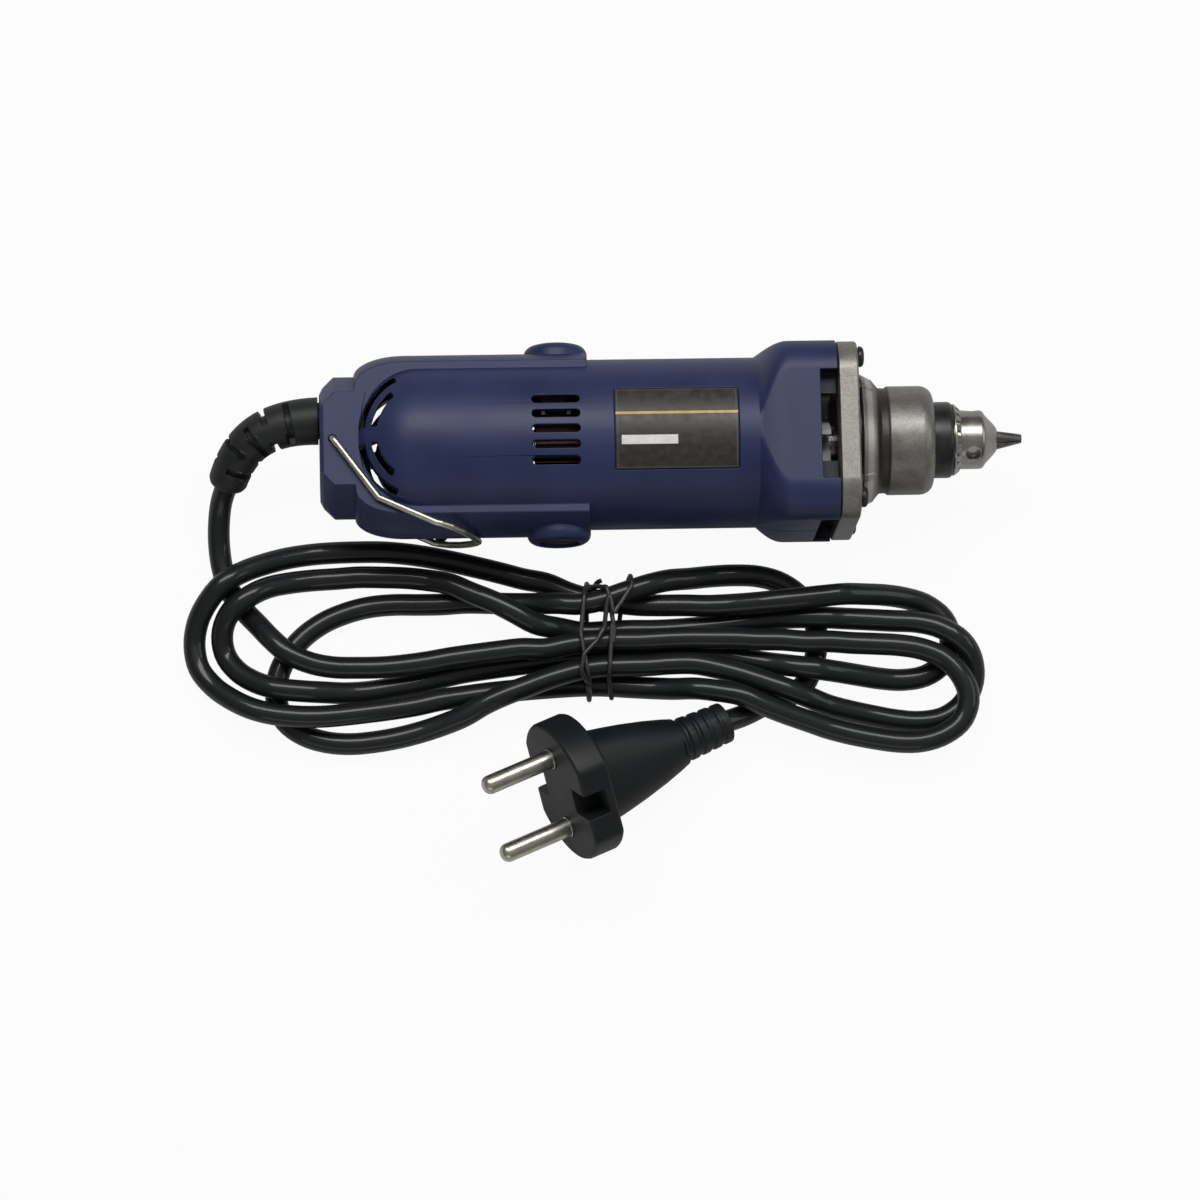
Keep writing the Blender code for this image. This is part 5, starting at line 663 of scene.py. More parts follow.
FINISHES = {
    "housing": moulded_plastic("navy_plastic", (0.018, 0.025, 0.082), (0.014, 0.019, 0.064), 0.44,
                               0.22 * MM, 0.012 * MM, painted_window_shade=True),
    "black_plastic": moulded_plastic("black_plastic", (0.012, 0.012, 0.013), (0.008, 0.008, 0.009), 0.45,
                                     0.2 * MM, 0.015 * MM),
    "plug_rubber": moulded_plastic("plug_rubber", (0.0075, 0.0085, 0.0095), (0.005, 0.006, 0.007), 0.5,
                                   0.28 * MM, 0.03 * MM),
    "relief_rubber": moulded_plastic("relief_rubber", (0.013, 0.014, 0.014), (0.009, 0.010, 0.010), 0.5,
                                     0.3 * MM, 0.03 * MM),
    "casting": cast_aluminium(),
    "chuck_steel": turned_steel("chuck_steel", (0.38, 0.37, 0.345), (0.26, 0.25, 0.23), 0.27, 0.22 * MM,
                                 depth=0.001 * MM),
    "sleeve_steel": turned_steel("sleeve_steel", (0.052, 0.052, 0.052), (0.03, 0.03, 0.03), 0.34,
                                 0.3 * MM, 0.8),
    "jaw_steel": turned_steel("jaw_steel", (0.17, 0.165, 0.16), (0.09, 0.087, 0.085), 0.34, 0.5 * MM, 0.9),
    "bearing_steel": turned_steel("bearing_steel", (0.55, 0.54, 0.53), (0.42, 0.41, 0.40), 0.2, 0.4 * MM),
    "screw_black": plain_part("screw_black", (0.022, 0.022, 0.024), (0.04, 0.038, 0.036), 0.36, 0.7, 1.2 * MM),
    "nickel": plated("nickel_plate", (0.52, 0.51, 0.44), (0.40, 0.39, 0.33), 0.3),
    "tie_wire": plain_part("tie_wire", (0.012, 0.012, 0.013), (0.02, 0.02, 0.021), 0.4, 0.0, 2.5 * MM),
    "cord": cord_vinyl(),
    "label": label_foil(),
    "fan_plastic": plain_part("fan_plastic", (0.36, 0.37, 0.38), (0.28, 0.285, 0.29), 0.45, 0.0, 3 * MM),
    "copper": wound_copper("wound_copper", 0.5 * MM, "Y"),
    "armature_copper": wound_copper("armature_copper", 0.45 * MM, "X"),
    "commutator_copper": plain_part("commutator_copper", (0.07, 0.04, 0.028), (0.035, 0.02, 0.015), 0.45, 0.8,
                                    1.6 * MM, 0.02 * MM, (0.1, 1, 1)),
    "lamination": laminated_steel(),
    "carbon": plain_part("brush_carbon", (0.035, 0.035, 0.036), (0.02, 0.02, 0.021), 0.6, 0.2, 0.8 * MM),
    "brass": plain_part("holder_brass", (0.62, 0.44, 0.16), (0.42, 0.29, 0.11), 0.32, 1.0, 2 * MM),
    "spring_steel": plain_part("spring_steel", (0.45, 0.44, 0.42), (0.3, 0.29, 0.28), 0.3, 1.0, 1 * MM),
    "board": plain_part("board_green", (0.02, 0.14, 0.06), (0.012, 0.09, 0.04), 0.4, 0.0, 2 * MM),
}
RING = ring_recipe()
ROW = row_recipe()
THREADED = path_recipe()


def around(item, finish, count, first=0.0, middle=AXIS):
    """Even copies of a piece round a line along X through the middle."""
    return RING.made_from(item, finish, count=count, first=first, turn=2 * pi / count, middle=tuple(middle))


def dress(item, name, finish, body, *nodes, smooth_angle=32, edge=0.0):
    """Names a finished piece, gives it its finish and slot, breaks its edges and puts it on its body."""
    item.name = name
    item.data.name = name
    item.data.materials.clear()
    item.data.materials.append(FINISHES[finish])
    item.data.shade_smooth()
    if edge:
        bevel = item.modifiers.new("edges", "BEVEL")
        bevel.width = edge
        bevel.segments = 2
        bevel.limit_method = "ANGLE"
        bevel.angle_limit = smooth_angle * DEG
        bevel.use_clamp_overlap = False
        bevel.miter_outer = "MITER_ARC"
        even = item.modifiers.new("faces", "WEIGHTED_NORMAL")
        even.keep_sharp = True
    else:
        item.data.set_sharp_from_angle(angle=smooth_angle * DEG)
    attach(item, body)
    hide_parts(*nodes)
    return item


# ---- housing ----

def square_ring(x, half, corner_r):
    """A rounded square across the axis; it is a circle where the corner's radius is the half."""
    ring = []
    per_corner = SIDES // 4
    middle = half - corner_r
    for k in range(SIDES):
        angle = (k + 0.5) / per_corner * pi / 2
        corner = (floor((k + 0.5) / per_corner) + 0.5) * pi / 2
        ring.append(at(x, copysign(middle, cos(corner)) + corner_r * cos(angle),
                       copysign(middle, sin(corner)) + corner_r * sin(angle)))
    return ring


def dome(x, length, radius, steps=14, first=1):
    """Profile of a rounded end, from its tip to its full radius."""
    return [(x - length * cos(a), radius * sin(a)) for a in quarter(steps, first)[:-1]]


def barrel():
    rings = [square_ring(x, r, r) for x, r in dome(DOME_X, DOME_LENGTH, BARREL_R)]
    rings += [square_ring(x, BARREL_R, BARREL_R) for x in (DOME_X, FLARE_X)]
    steps = 8
    for k in range(1, steps):
        grown = sin(k / steps * pi / 2)
        rings.append(square_ring(FLARE_X + (HEAD_X - FLARE_X) * k / steps,
                                 BARREL_R + (HEAD_HALF - BARREL_R) * grown,
                                 BARREL_R + (HEAD_CORNER_R - BARREL_R) * grown))
    rings += [square_ring(x, HEAD_HALF, HEAD_CORNER_R) for x in (HEAD_X, FRONT_X)]
    return loft(rings)


def grip():
    """Flat-sided grip beside the barrel, with the eight-sided block at the tail."""
    profile = [(BLOCK_X, BLOCK_HALF_WIDTH - GAP)]
    profile += [(BLOCK_X + (SWELL_X - BLOCK_X) * (1 - cos(a)),
                 BLOCK_HALF_WIDTH + (GRIP_R - BLOCK_HALF_WIDTH) * sin(a)) for a in quarter(14, 1)]
    profile.append((GRIP_X, GRIP_R))
    far = 2 * GRIP_R
    low = FLAT_Z - BLOCK_EDGE
    side = [(TAIL_X - BLOCK_EDGE, low - BLOCK_EDGE), (TAIL_X + BLOCK_EDGE, FLAT_Z), (GRIP_X + OVER, FLAT_Z)]
    side += [(x, -z) for x, z in reversed(side)]
    flats = loft([[at(x, y, z) for x, z in side] for y in (-far, far)])
    return combine(join(turned(profile), tail_block()), [flats], "INTERSECT")


def tail_block():
    rise = FLAT_Z - BLOCK_SIDE_HALF_HEIGHT
    top = FLAT_Z + OVER
    step = BLOCK_SIDE_HALF_HEIGHT

    def ring(x, inset):
        side = BLOCK_HALF_WIDTH - inset
        flat = side - (BLOCK_HALF_WIDTH - BLOCK_FLAT_HALF_WIDTH) * (1 + OVER / rise)
        outline = [(side, step), (flat, top), (-flat, top), (-side, step),
                   (-side, -step), (-flat, -top), (flat, -top), (side, -step)]
        return [at(x, y, z) for y, z in outline]

    return loft([ring(TAIL_X, BLOCK_CORNER + BLOCK_EDGE), ring(TAIL_X + BLOCK_EDGE, BLOCK_CORNER - BLOCK_EDGE),
                 ring(TAIL_X + BLOCK_CORNER, 0), ring(BLOCK_X + OVER, 0)])


def brush_boss():
    edge = BOSS_R - BOSS_FLAT_R
    profile = [(BORE_R - OVER, BOSS_R)]
    profile += [(BOSS_REACH - edge + edge * sin(a), BOSS_FLAT_R + edge * cos(a)) for a in quarter(8)]
    return turned(profile, 64, centre=at(BOSS_X, 0, 0), direction=ACROSS)


def bore():
    profile = dome(DOME_X, DOME_LENGTH - 2.5 * MM, BORE_R, 10, 2)
    profile += [(DOME_X, BORE_R), (ROOM_X, BORE_R), (ROOM_X, FAN_ROOM_R), (FRONT_X + OVER, FAN_ROOM_R)]
    return turned(profile)


def arc_slot(semi, angles):
    """Upright cutter along an ellipse round the dome."""
    steps = 20
    outline = []
    for offset, order in ((0.75 * MM, range(steps + 1)), (-0.75 * MM, range(steps, -1, -1))):
        for a in (angles[0] + (angles[1] - angles[0]) * k / steps for k in order):
            outline.append((DOME_X + (semi[0] + offset) * cos(a), (semi[1] + offset) * sin(a)))
    return raised(outline, mm(5.5, 23), AXIS)


def air_slots():
    """Five straight slots behind the label and two arcs each side of the dome, above and below."""
    ends = [(side * 5 * MM + 1 * MM * cos(a), 1 * MM * sin(a)) for side, first in ((1, -90), (-1, 90))
            for a in ((first + 15 * k) * DEG for k in range(13))]
    slot = raised(ends, mm(13.9, 22.9), AXIS)
    cutters = [ROW.made_from(slot, "housing", count=5, start=mm(-29.75, -7.8, 0), step=mm(0, 3.9, 0))]
    for semi, angles in ((mm(13.9, 15.4), (112 * DEG, 172 * DEG)), (mm(10.9, 11.9), (124 * DEG, 170 * DEG))):
        arc = arc_slot(semi, angles)
        cutters += [arc, flipped(arc, ACROSS)]
    return cutters + [flipped(item, UP) for item in list(cutters)]


def air_windows():
    window = slab(WINDOW_X, FRONT_X + OVER, -WINDOW_HALF, WINDOW_HALF, 17.7 * MM, HEAD_HALF + OVER)
    window.data.transform(Matrix.Translation(-AXIS))
    return around(window, "housing", 4)


def label_bed(inner, outer, grow):
    half = (10.5 * MM + grow) / BARREL_R
    steps = 40
    rings = []
    for x in (-15.0 * MM - grow, 15.5 * MM + grow):
        arc = [pi / 2 + half * (1 - 2 * k / steps) for k in range(steps + 1)]
        ring = [at(x, outer * cos(a), outer * sin(a)) for a in arc]
        ring += [at(x, inner * cos(a), inner * sin(a)) for a in reversed(arc)]
        rings.append(ring)
    return loft(rings)


SHELL_SCREWS = [mm(-58.0, 20.3), mm(-58.0, -20.3), mm(-83.3, -9.4)]
SHELL_SEAT = 10.5 * MM


def corner_hole(x0, x1, radius, sides, finish):
    """Four bores along X at the corners of the head."""
    hole = rod(Vector((x0, SCREW_PLACE, SCREW_PLACE)), Vector((x1, SCREW_PLACE, SCREW_PLACE)), radius, sides)
    return around(hole, finish, 4)


def screw_holes():
    holes = []
    for x, y in SHELL_SCREWS:
        holes.append(rod(at(x, y, -GRIP_R), at(x, y, -SHELL_SEAT), 2.1 * MM))
        holes.append(rod(at(x, y, -SHELL_SEAT - OVER), at(x, y, 4.8 * MM), 1.3 * MM, 24))
    return holes + [corner_hole(FRONT_X - 10.3 * MM, FRONT_X + OVER, 1.8 * MM, 24, "housing")]


def inner_cuts():
    """Tail pocket, cord hole, bail pivots, brush bores, switch opening and dial slot."""
    cuts = [slab(*mm(-85.8, -73.1, -6.5, 13.0, -7, 7)),
            rod(at(TAIL_X - OVER, CORD_EXIT_Y, 0), at(-84.3 * MM, CORD_EXIT_Y, 0), 4.9 * MM)]
    for side in (1, -1):
        cuts.append(rod(at(PIVOT_X, 0, side * 9.6 * MM), at(PIVOT_X, 0, side * 14 * MM), 1.0 * MM))
        cuts.append(rod(at(BOSS_X, side * 17.4 * MM, 0), at(BOSS_X, side * 26.7 * MM, 0), BRUSH_BORE_R, 64))
    cuts.append(pad(SWITCH_X, *mm(7.8, 5.1, -24.3, -16.4)))
    cuts.append(pad(SWITCH_X, *mm(8.7, 6.0, -24.3, -20.3)))
    cuts.append(rod(at(DIAL_X, -2.6 * MM, DIAL_Z), at(DIAL_X, 2.6 * MM, DIAL_Z), 8.6 * MM, 64))
    return cuts


def bearing_seat():
    x0, inner, outer, reach, half = mm(-46.75, 9.8, 12.0, 20.1, 2.2)
    front = x0 + 6 * MM
    ring = turned([(x0, inner), (x0, outer), (front, outer), (front, inner)], ring=True)
    return [ring, *(slab(x0 + GAP, x0 + 5.7 * MM, *span, -half, half)
                    for span in ((11.7 * MM, reach), (-reach, -11.7 * MM)))]


def housing():
    boss = brush_boss()
    whole = join(barrel(), grip(), boss, flipped(boss, ACROSS))
    cut(whole, bore())
    join(whole, *bearing_seat())
    cut(whole, *inner_cuts(), air_windows(), *air_slots(), *screw_holes(),
        label_bed(20.9 * MM, BARREL_R + OVER, GAP))
    lower = copy_of(whole)
    far = 2 * HEAD_HALF
    for shell, name, span in ((whole, "upper", (-far, 0.15 * MM)), (lower, "lower", (-0.15 * MM, far))):
        cut(shell, slab(TAIL_X - far, FRONT_X + far, -far, far, *span))
        dress(shell, name + "_shell", "housing", "tool", "housing_" + name, edge=0.22 * MM)
    plate = label_bed(*mm(21.2, 21.55, 0))
    dress(plate, "label_foil_plate", "label", "tool", "label_plate", edge=0.08 * MM)


def pan_head(head_r, head, shank_r, length, cross):
    """Pan-head screw along -X from its seat, with a cross recess."""
    profile = [(0, head_r), (head * 0.35, head_r)]
    profile += [(head * (0.35 + 0.65 * sin(a)), head_r * (0.45 + 0.55 * cos(a))) for a in quarter(6, 1)]
    made = turned(profile, 40, centre=ORIGIN)
    shank = [(-length, shank_r * 0.4), (-length + shank_r, shank_r), (0.2 * MM, shank_r)]
    join(made, turned(shank, 24, centre=ORIGIN))
    bars = []
    for wide, tall in ((cross, cross * 0.24), (cross * 0.24, cross)):
        corners = ((-wide / 2, -tall / 2), (wide / 2, -tall / 2), (wide / 2, tall / 2), (-wide / 2, tall / 2))
        bars.append(upright([(x, [(y * grow, z * grow) for y, z in corners])
                             for x, grow in ((head * 0.25, 0.55), (head * 1.2, 1.05))]))
    return cut(made, *bars)


def screws():
    one = pan_head(*mm(2.6, 1.4, 1.5, 14.6, 2.7))
    one.data.transform(Matrix.Translation((46.1 * MM, SCREW_PLACE, SCREW_PLACE)))
    dress(around(one, "screw_black", 4), "flange_screws", "screw_black", "tool",
          *("nose_screw_%d" % k for k in (1, 2, 3, 4)))
    under = pan_head(*mm(1.8, 1.4, 1.0, 14.6, 1.9))
    under.data.transform(Matrix.Rotation(90 * DEG, 4, "Y"))
    tail = copy_of(under)
    places = [Vector((x, y, AXIS.z - SHELL_SEAT - GAP)) for x, y in SHELL_SCREWS]
    pair = ROW.made_from(under, "screw_black", count=2, start=tuple(places[1]),
                         step=(0, places[0].y - places[1].y, 0))
    tail.data.transform(Matrix.Translation(places[2]))
    dress(group(pair, tail), "shell_screws", "screw_black", "tool",
          *("housing_screw_%d" % k for k in (1, 2, 3)))


# ---- nose and chuck ----

def nose():
    half = HEAD_HALF - 0.3 * MM
    flange = loft([square_ring(x, half - inset, HEAD_CORNER_R - inset)
                   for x, inset in ((FLANGE_X, 0.25 * MM), (FLANGE_X + 0.25 * MM, 0), (COLLAR_X - 0.4 * MM, 0),
                                    (COLLAR_X, 0.4 * MM))])
    profile = mm((43.3, 14.0), (47.0, 14.0), (47.0, 16.6), (47.3, 16.9), (50.4, 15.3), (50.9, 14.6),
                 (51.5, 13.9), (52.0, 13.3), (53.4, 13.2), (53.9, 13.4)) + [(54.2 * MM, NOSE_R)]
    edge = 3.4 * MM
    profile += [(NOSE_FRONT_X - edge + edge * sin(a), 10.9 * MM + 2.8 * MM * cos(a)) for a in quarter(12)]
    root = 12.5 * MM
    gusset = upright([(x, [(root, w), (r, w), (r, -w), (root, -w)])
                      for x, r, w in mm((44.3, 16.9, 1.1), (47.2, 16.9, 0.95), (50.1, 16.2, 0.8))])
    body = join(flange, turned(profile), around(gusset, "casting", 4, pi / 4))
    hollow = turned(mm((39.3, 14.5)) + [(COLLAR_X, 11.3 * MM)]
                    + mm((58.2, 11.3), (58.2, 5.6), (59.8, 5.6), (59.8, 10.3), (67.1, 10.3)))
    cut(body, hollow, corner_hole(*mm(39.3, 47.3, 1.8), 32, "casting"))
    dress(body, "nose_and_flange", "casting", "tool", "nose_casting", edge=0.15 * MM)


def jaw_outer(x):
    """How far the jaws' bores reach from the axis at X."""
    return (JAW_MEET_X - x) * tan(JAW_TILT) + JAW_R / cos(JAW_TILT)


def jaw_line(k):
    """Where a jaw's middle line starts, its way back from there and its turn about the axis."""
    angle = (190 + 120 * k) * DEG
    out = Vector((0, cos(angle), sin(angle)))
    way = Vector((-cos(JAW_TILT), 0, 0)) + out * sin(JAW_TILT)
    return at(JAW_MEET_X, 0, 0) - way * 2.2 * MM / cos(JAW_TILT), way, angle


def chuck():
    nut_back, nut_front = 67.8 * MM, 70.2 * MM
    core = jaw_outer(nut_front)
    shoulder = CHUCK_FRONT_X - 3.9 * MM
    tip = [(shoulder + x, r) for x, r in mm((-0.5, 7.4), (0, 7.3), (0.4, 7.1), (1.0, 6.2), (3.3, 3.75))]
    body = turned([*mm((61.4, 8.0), (61.8, 8.4)), (nut_back - GAP, 8.4 * MM), (nut_back - GAP, core),
                   (nut_front + GAP, core), (nut_front + GAP, CHUCK_R), *tip,
                   (CHUCK_FRONT_X - 0.15 * MM, 3.15 * MM), (CHUCK_FRONT_X, 2.9 * MM)])
    key = rod(Vector(mm(75.5, 5.2, 0)), Vector(mm(75.5, 9, 0)), 1.85 * MM)
    holes = [rod(at(59.9 * MM, 0, 0), at(65.8 * MM, 0, 0), 3.4 * MM), around(key, "chuck_steel", 3, 130 * DEG),
             rod(at(64.3 * MM, 0, 0), at(83.4 * MM, 0, 0), 1.9 * MM)]
    for k in range(3):
        start, way = jaw_line(k)[:2]
        holes.append(rod(start - way * OVER, start + way * 33.4 * MM, 1.75 * MM))
    cut(body, *holes)
    dress(body, "chuck_barrel", "chuck_steel", "rotor", "chuck_body", edge=0.1 * MM)

    sleeve = turned([(SLEEVE_X, 8.7 * MM), (SLEEVE_X, 9.3 * MM), (61.1 * MM, SLEEVE_R), (69.6 * MM, SLEEVE_R),
                     (70.2 * MM, 9.42 * MM), (SLEEVE_FRONT_X, 9.1 * MM), (SLEEVE_FRONT_X, 8.7 * MM)], ring=True)
    dress(sleeve, "chuck_sleeve_drum", "sleeve_steel", "sleeve", "chuck_sleeve")

    gear = turned(mm((70.8, 7.7), (70.8, 9.0), (71.2, 9.0), (72.5, 7.9), (72.5, 7.7)), ring=True)
    tooth = upright([(x, mm((7.7, -0.5), (9.6, -0.75), (9.6, 0.75), (7.7, 0.5))) for x in mm(71.35, 73.6)])
    cut(gear, around(tooth, "chuck_steel", 20))
    dress(gear, "chuck_gear", "chuck_steel", "sleeve", "chuck_gear_ring", edge=0.05 * MM)


def jaws():
    """Three round bars, each kept to its third of the turn and parted from the others by a small gap."""
    edge = 0.15 * MM / sin(pi / 3)
    far, rise = 15 * MM, 25.98 * MM
    for k in range(3):
        start, way, angle = jaw_line(k)
        bar = turned([(0, 1.1 * MM), (0.3 * MM, JAW_R), (21 * MM, JAW_R)], 48, centre=start, direction=way)
        wedge = loft([[Matrix.Translation(AXIS) @ Matrix.Rotation(angle, 4, "X") @ Vector((x, y, z))
                       for y, z in ((edge, 0), (edge + far, rise), (edge + far, -rise))]
                      for x in (46.3 * MM, JAW_TIP_X)])
        combine(bar, [wedge], "INTERSECT")
        name = "jaw_%d" % (k + 1)
        dress(bar, name + "_bar", "jaw_steel", name, "chuck_" + name, edge=0.06 * MM)


def fan():
    x0 = 34.8 * MM
    hub, disc = (turned([(x0 + x, r) for x, r in mm(*profile)], ring=True) for profile in (
        ((0, 4.3), (0, 6), (4.1, 6), (4.4, 5.7), (4.4, 4.3)),
        ((0, 5.5), (0, 17.3), (0.1, 17.4), (0.9, 17.4), (1.0, 17.3), (1.0, 5.5))))
    steps = 10
    left, right = [], []
    for s in range(steps + 1):
        r = 5.67 * MM + 11.4 * MM * s / steps
        for side, row in ((1, left), (-1, right)):
            a = 0.5 * s / steps + side * 0.5 * MM / r
            row.append((r * cos(a), r * sin(a)))
    outline = left + right[::-1]
    blade = upright([(x, outline) for x in (x0 + 0.5 * MM, x0 + 4.1 * MM)])
    dress(join(hub, disc, around(blade, "fan_plastic", 11)), "fan_wheel", "fan_plastic", "rotor", "cooling_fan",
          edge=0.08 * MM)


def brush_caps():
    out, inner, r = mm(24.6, 19.2, 4.8)
    for name, side in (("left", 1), ("right", -1)):
        cap = turned([(inner, r), (out - 0.3 * MM, r), (out, r - 0.3 * MM)], 64, centre=at(BOSS_X, 0, 0),
                     direction=ACROSS * side)
        span = sorted((side * (out - 0.9 * MM), side * (out + OVER)))
        cut(cap, slab(BOSS_X - 6.3 * MM, BOSS_X + 6.3 * MM, *span, -0.5 * MM, 0.5 * MM))
        dress(cap, "brush_cap_%s_moulding" % name, "black_plastic", "tool", "brush_cap_" + name, edge=0.1 * MM)


# ---- switch and dial, under the barrel ----

def switch_and_dial():
    face = -21.6 * MM
    body = pad(SWITCH_X, *mm(7.5, 4.8), face + 0.5 * MM, face + 7.6 * MM)
    join(body, pad(SWITCH_X, *mm(8.4, 5.7), face, face + 1.0 * MM))
    cut(body, pad(SWITCH_X, *mm(6.3, 3.5), face - OVER, face + 4.6 * MM))
    dress(body, "switch_housing", "black_plastic", "tool", "switch_body", edge=0.15 * MM)

    half, depth, tilt = 5.7 * MM, 3.4 * MM, 6 * DEG
    slope = tan(tilt) * half
    steps = 10
    outline = [(share * half, GAP - depth - slope * abs(share) ** 1.3)
               for share in (k / steps * 2 - 1 for k in range(steps + 1))]
    outline += [(half * 0.8, 0), (0, GAP), (-half * 0.8, 0)]
    rocker = loft([[Vector((x, y, z)) for x, z in outline] for y in mm(-3.2, 3.2)])
    rocker.data.transform(Matrix.Translation(at(SWITCH_X, 0, face + depth)) @ Matrix.Rotation(-tilt, 4, "Y"))
    dress(rocker, "rocker_moulding", "black_plastic", "rocker", "switch_rocker", edge=0.2 * MM)

    wheel = turned(mm((-2.0, 7.3), (-1.7, 7.7), (1.7, 7.7), (2.0, 7.3)), 72, centre=ORIGIN)
    rib = upright([(x, mm((7.4, -0.75), (8.0, -0.45), (8.0, 0.45), (7.4, 0.75))) for x in mm(-1.8, 1.8)])
    dial = join(wheel, around(rib, "black_plastic", 18, middle=ORIGIN))
    dial.data.transform(Matrix.Translation(at(DIAL_X, 0, DIAL_Z)) @ Matrix.Rotation(90 * DEG, 4, "Z"))
    dress(dial, "dial_wheel", "black_plastic", "dial", "speed_dial", edge=0.1 * MM)


# ---- cord, relief, bail ----

def relief_path():
    """Middle line of the strain relief, from the rear face to where the cord leaves it."""
    start = at(TAIL_X, CORD_EXIT_Y, 0)
    end = Vector(CORD_ROUTE[0]) * MM
    way = (Vector(CORD_ROUTE[1]) * MM - end).normalized()
    out = (end - start).length
    a = start + Vector((-out * 0.5, 0, 0))
    b = end - way * out * 0.42
    steps = 36
    return [start * (1 - t) ** 3 + 3 * a * t * (1 - t) ** 2 + 3 * b * t ** 2 * (1 - t) + end * t ** 3
            for t in (k / steps for k in range(steps + 1))]


def strain_relief():
    """Tapered sleeve whose gaps leave a bridge on two sides, turned from gap to gap."""
    path = relief_path()
    last = len(path) - 1
    wide, narrow = 6.0 * MM, 4.9 * MM
    radii = [wide + (narrow - wide) * k / last for k in range(last + 1)]
    radii[-1] -= 0.4 * MM
    sleeve = join(tube([path[0] + Vector((-GAP, 0, 0))] + path[1:], radii, 64), *(
        rod(at(TAIL_X + start, CORD_EXIT_Y, 0), at(TAIL_X + end, CORD_EXIT_Y, 0), r)
        for start, end, r in mm((-0.9, 3.4, 4.6), (2.8, 5.2, 6.0))))
    cutters = []
    outer, inner, half = mm(7.4, 3.9, 0.8)
    for number in range(5):
        k = round((0.2 + 0.155 * number) * last)
        turn = UP.rotation_difference((path[k + 1] - path[k - 1]).normalized()).to_matrix().to_4x4()
        for side in (0, 1):
            centre = (number % 2 * 90 + side * 180) * DEG
            arc = [centre + (q / 10 - 0.5) * 130 * DEG for q in range(11)]
            outline = [(r * cos(a), r * sin(a)) for r, way in ((outer, 1), (inner, -1)) for a in arc[::way]]
            sector = raised(outline, (-half, half))
            sector.data.transform(Matrix.Translation(path[k]) @ turn)
            cutters.append(sector)
    cut(sleeve, *cutters)
    dress(sleeve, "relief_sleeve", "relief_rubber", "tool", "strain_relief", edge=0.12 * MM)


def rounded(points, radius, steps=6):
    """Polyline with each inner corner turned into an arc."""
    line = [points[0]]
    for before, here, after in zip(points, points[1:], points[2:]):
        back, on = (before - here).normalized(), (after - here).normalized()
        turn = back.angle(on)
        run = min(radius / tan(turn / 2), 0.45 * (before - here).length, 0.45 * (after - here).length)
        one, other = here + back * run, here + on * run
        for k in range(steps + 1):
            t = k / steps
            line.append(one.lerp(here, t).lerp(here.lerp(other, t), t))
    return line + [points[-1]]


def bail():
    """Sprung wire bail, pivoted in both flats of the tail."""
    height = FLAT_Z + GAP + BAIL_R
    bend = Vector((*mm(11.2, -15.3), height))
    shoulder = Vector((*mm(25.4, -21.8), height))
    tip = Vector(mm(36.3, -24.3, 0))
    side = [Vector((0, 0, FLAT_Z - 2.6 * MM)), UP * height, bend, shoulder]
    for share, rise in ((0.12, 0.99), (0.35, 0.9), (0.6, 0.68), (0.82, 0.4), (0.95, 0.16)):
        spot = shoulder.lerp(tip, share)
        side.append(Vector((spot.x, spot.y, height * rise)))
    path = side + [tip] + [Vector((p.x, p.y, -p.z)) for p in reversed(side)]
    place = at(PIVOT_X, 0, 0)
    made = tube(rounded([place + p for p in path], 1.3 * MM), BAIL_R, 24)
    dress(made, "bail_wire", "nickel", "bail", "hanging_bail")


def lifted(path, least):
    """The points, none of them lower than this over the table."""
    for p in path:
        p.z = max(p.z, least)
    return path


def cord(pieces):
    path = lifted(smooth([Vector(p) * MM for p in CORD_ROUTE], 1.5 * MM), CORD_R)
    made = tube(path, CORD_R, 20, name="cord")
    dress(made, "power_cord", "cord", "tool", "cord_lead", "cord_hank", "cord_tail", smooth_angle=60)
    return path


def strands_at(path, x):
    """Where the cord's passes cross a plane across X, as (y, z) pairs."""
    found = []
    for one, other in zip(path, path[1:]):
        if (one.x - x) * (other.x - x) < 0:
            spot = one.lerp(other, (x - one.x) / (other.x - one.x))
            found.append((spot.y, spot.z))
    return found


# Along the tie's wire: turns round the bundle from its +Y side, X in mm, lift over the wire below in mm
TIE_PLACES = [(0, -19.2, 0), (0.07, -19.6, 0), (0.12, -22.2, 0), (0.27, -23.5, 0), (0.43, -21.6, 0),
              (0.5, -21.3, 0), (1, -21.3, 0), (1.06, -21.1, 0), (1.16, -15.4, 0), (1.2, -15.1, 0),
              (1.26, -15.6, 0), (1.44, -16.6, 0), (1.5, -16.2, 0), (2, -10.6, 0), (2.07, -10.4, 0.2),
              (2.13, -13.2, 0.9), (2.165, -15.2, 1.4), (2.2, -16.8, 1.0), (2.27, -17.6, 0.4), (2.31, -19.4, 0.7),
              (2.355, -22.8, 1.4), (2.4, -23.6, 1.0), (2.44, -22.2, 0.3), (2.47, -21.0, 0)]


def wrap_point(path, x, share, lift):
    """Point on a slack band round the cords at X: share 0 at the +Y side, a quarter on top."""
    ring = []
    strands = strands_at(path, x)
    for k in range(0, 360, 8):
        out = (cos(k * DEG), sin(k * DEG))
        y, z = max(strands, key=lambda s: s[0] * out[0] + s[1] * out[1])
        offset = CORD_R + TIE_R + 0.25 * MM + (lift if out[1] > 0 else 0)
        ring.append(Vector((x, y + out[0] * offset, max(z + out[1] * offset, TIE_R))))
    ring.append(ring[0])
    left = (share % 1) * length_of(ring)
    for a, b in zip(ring, ring[1:]):
        run = (b - a).length
        if left <= run:
            return a.lerp(b, left / max(run, 1e-9))
        left -= run
    return ring[0]


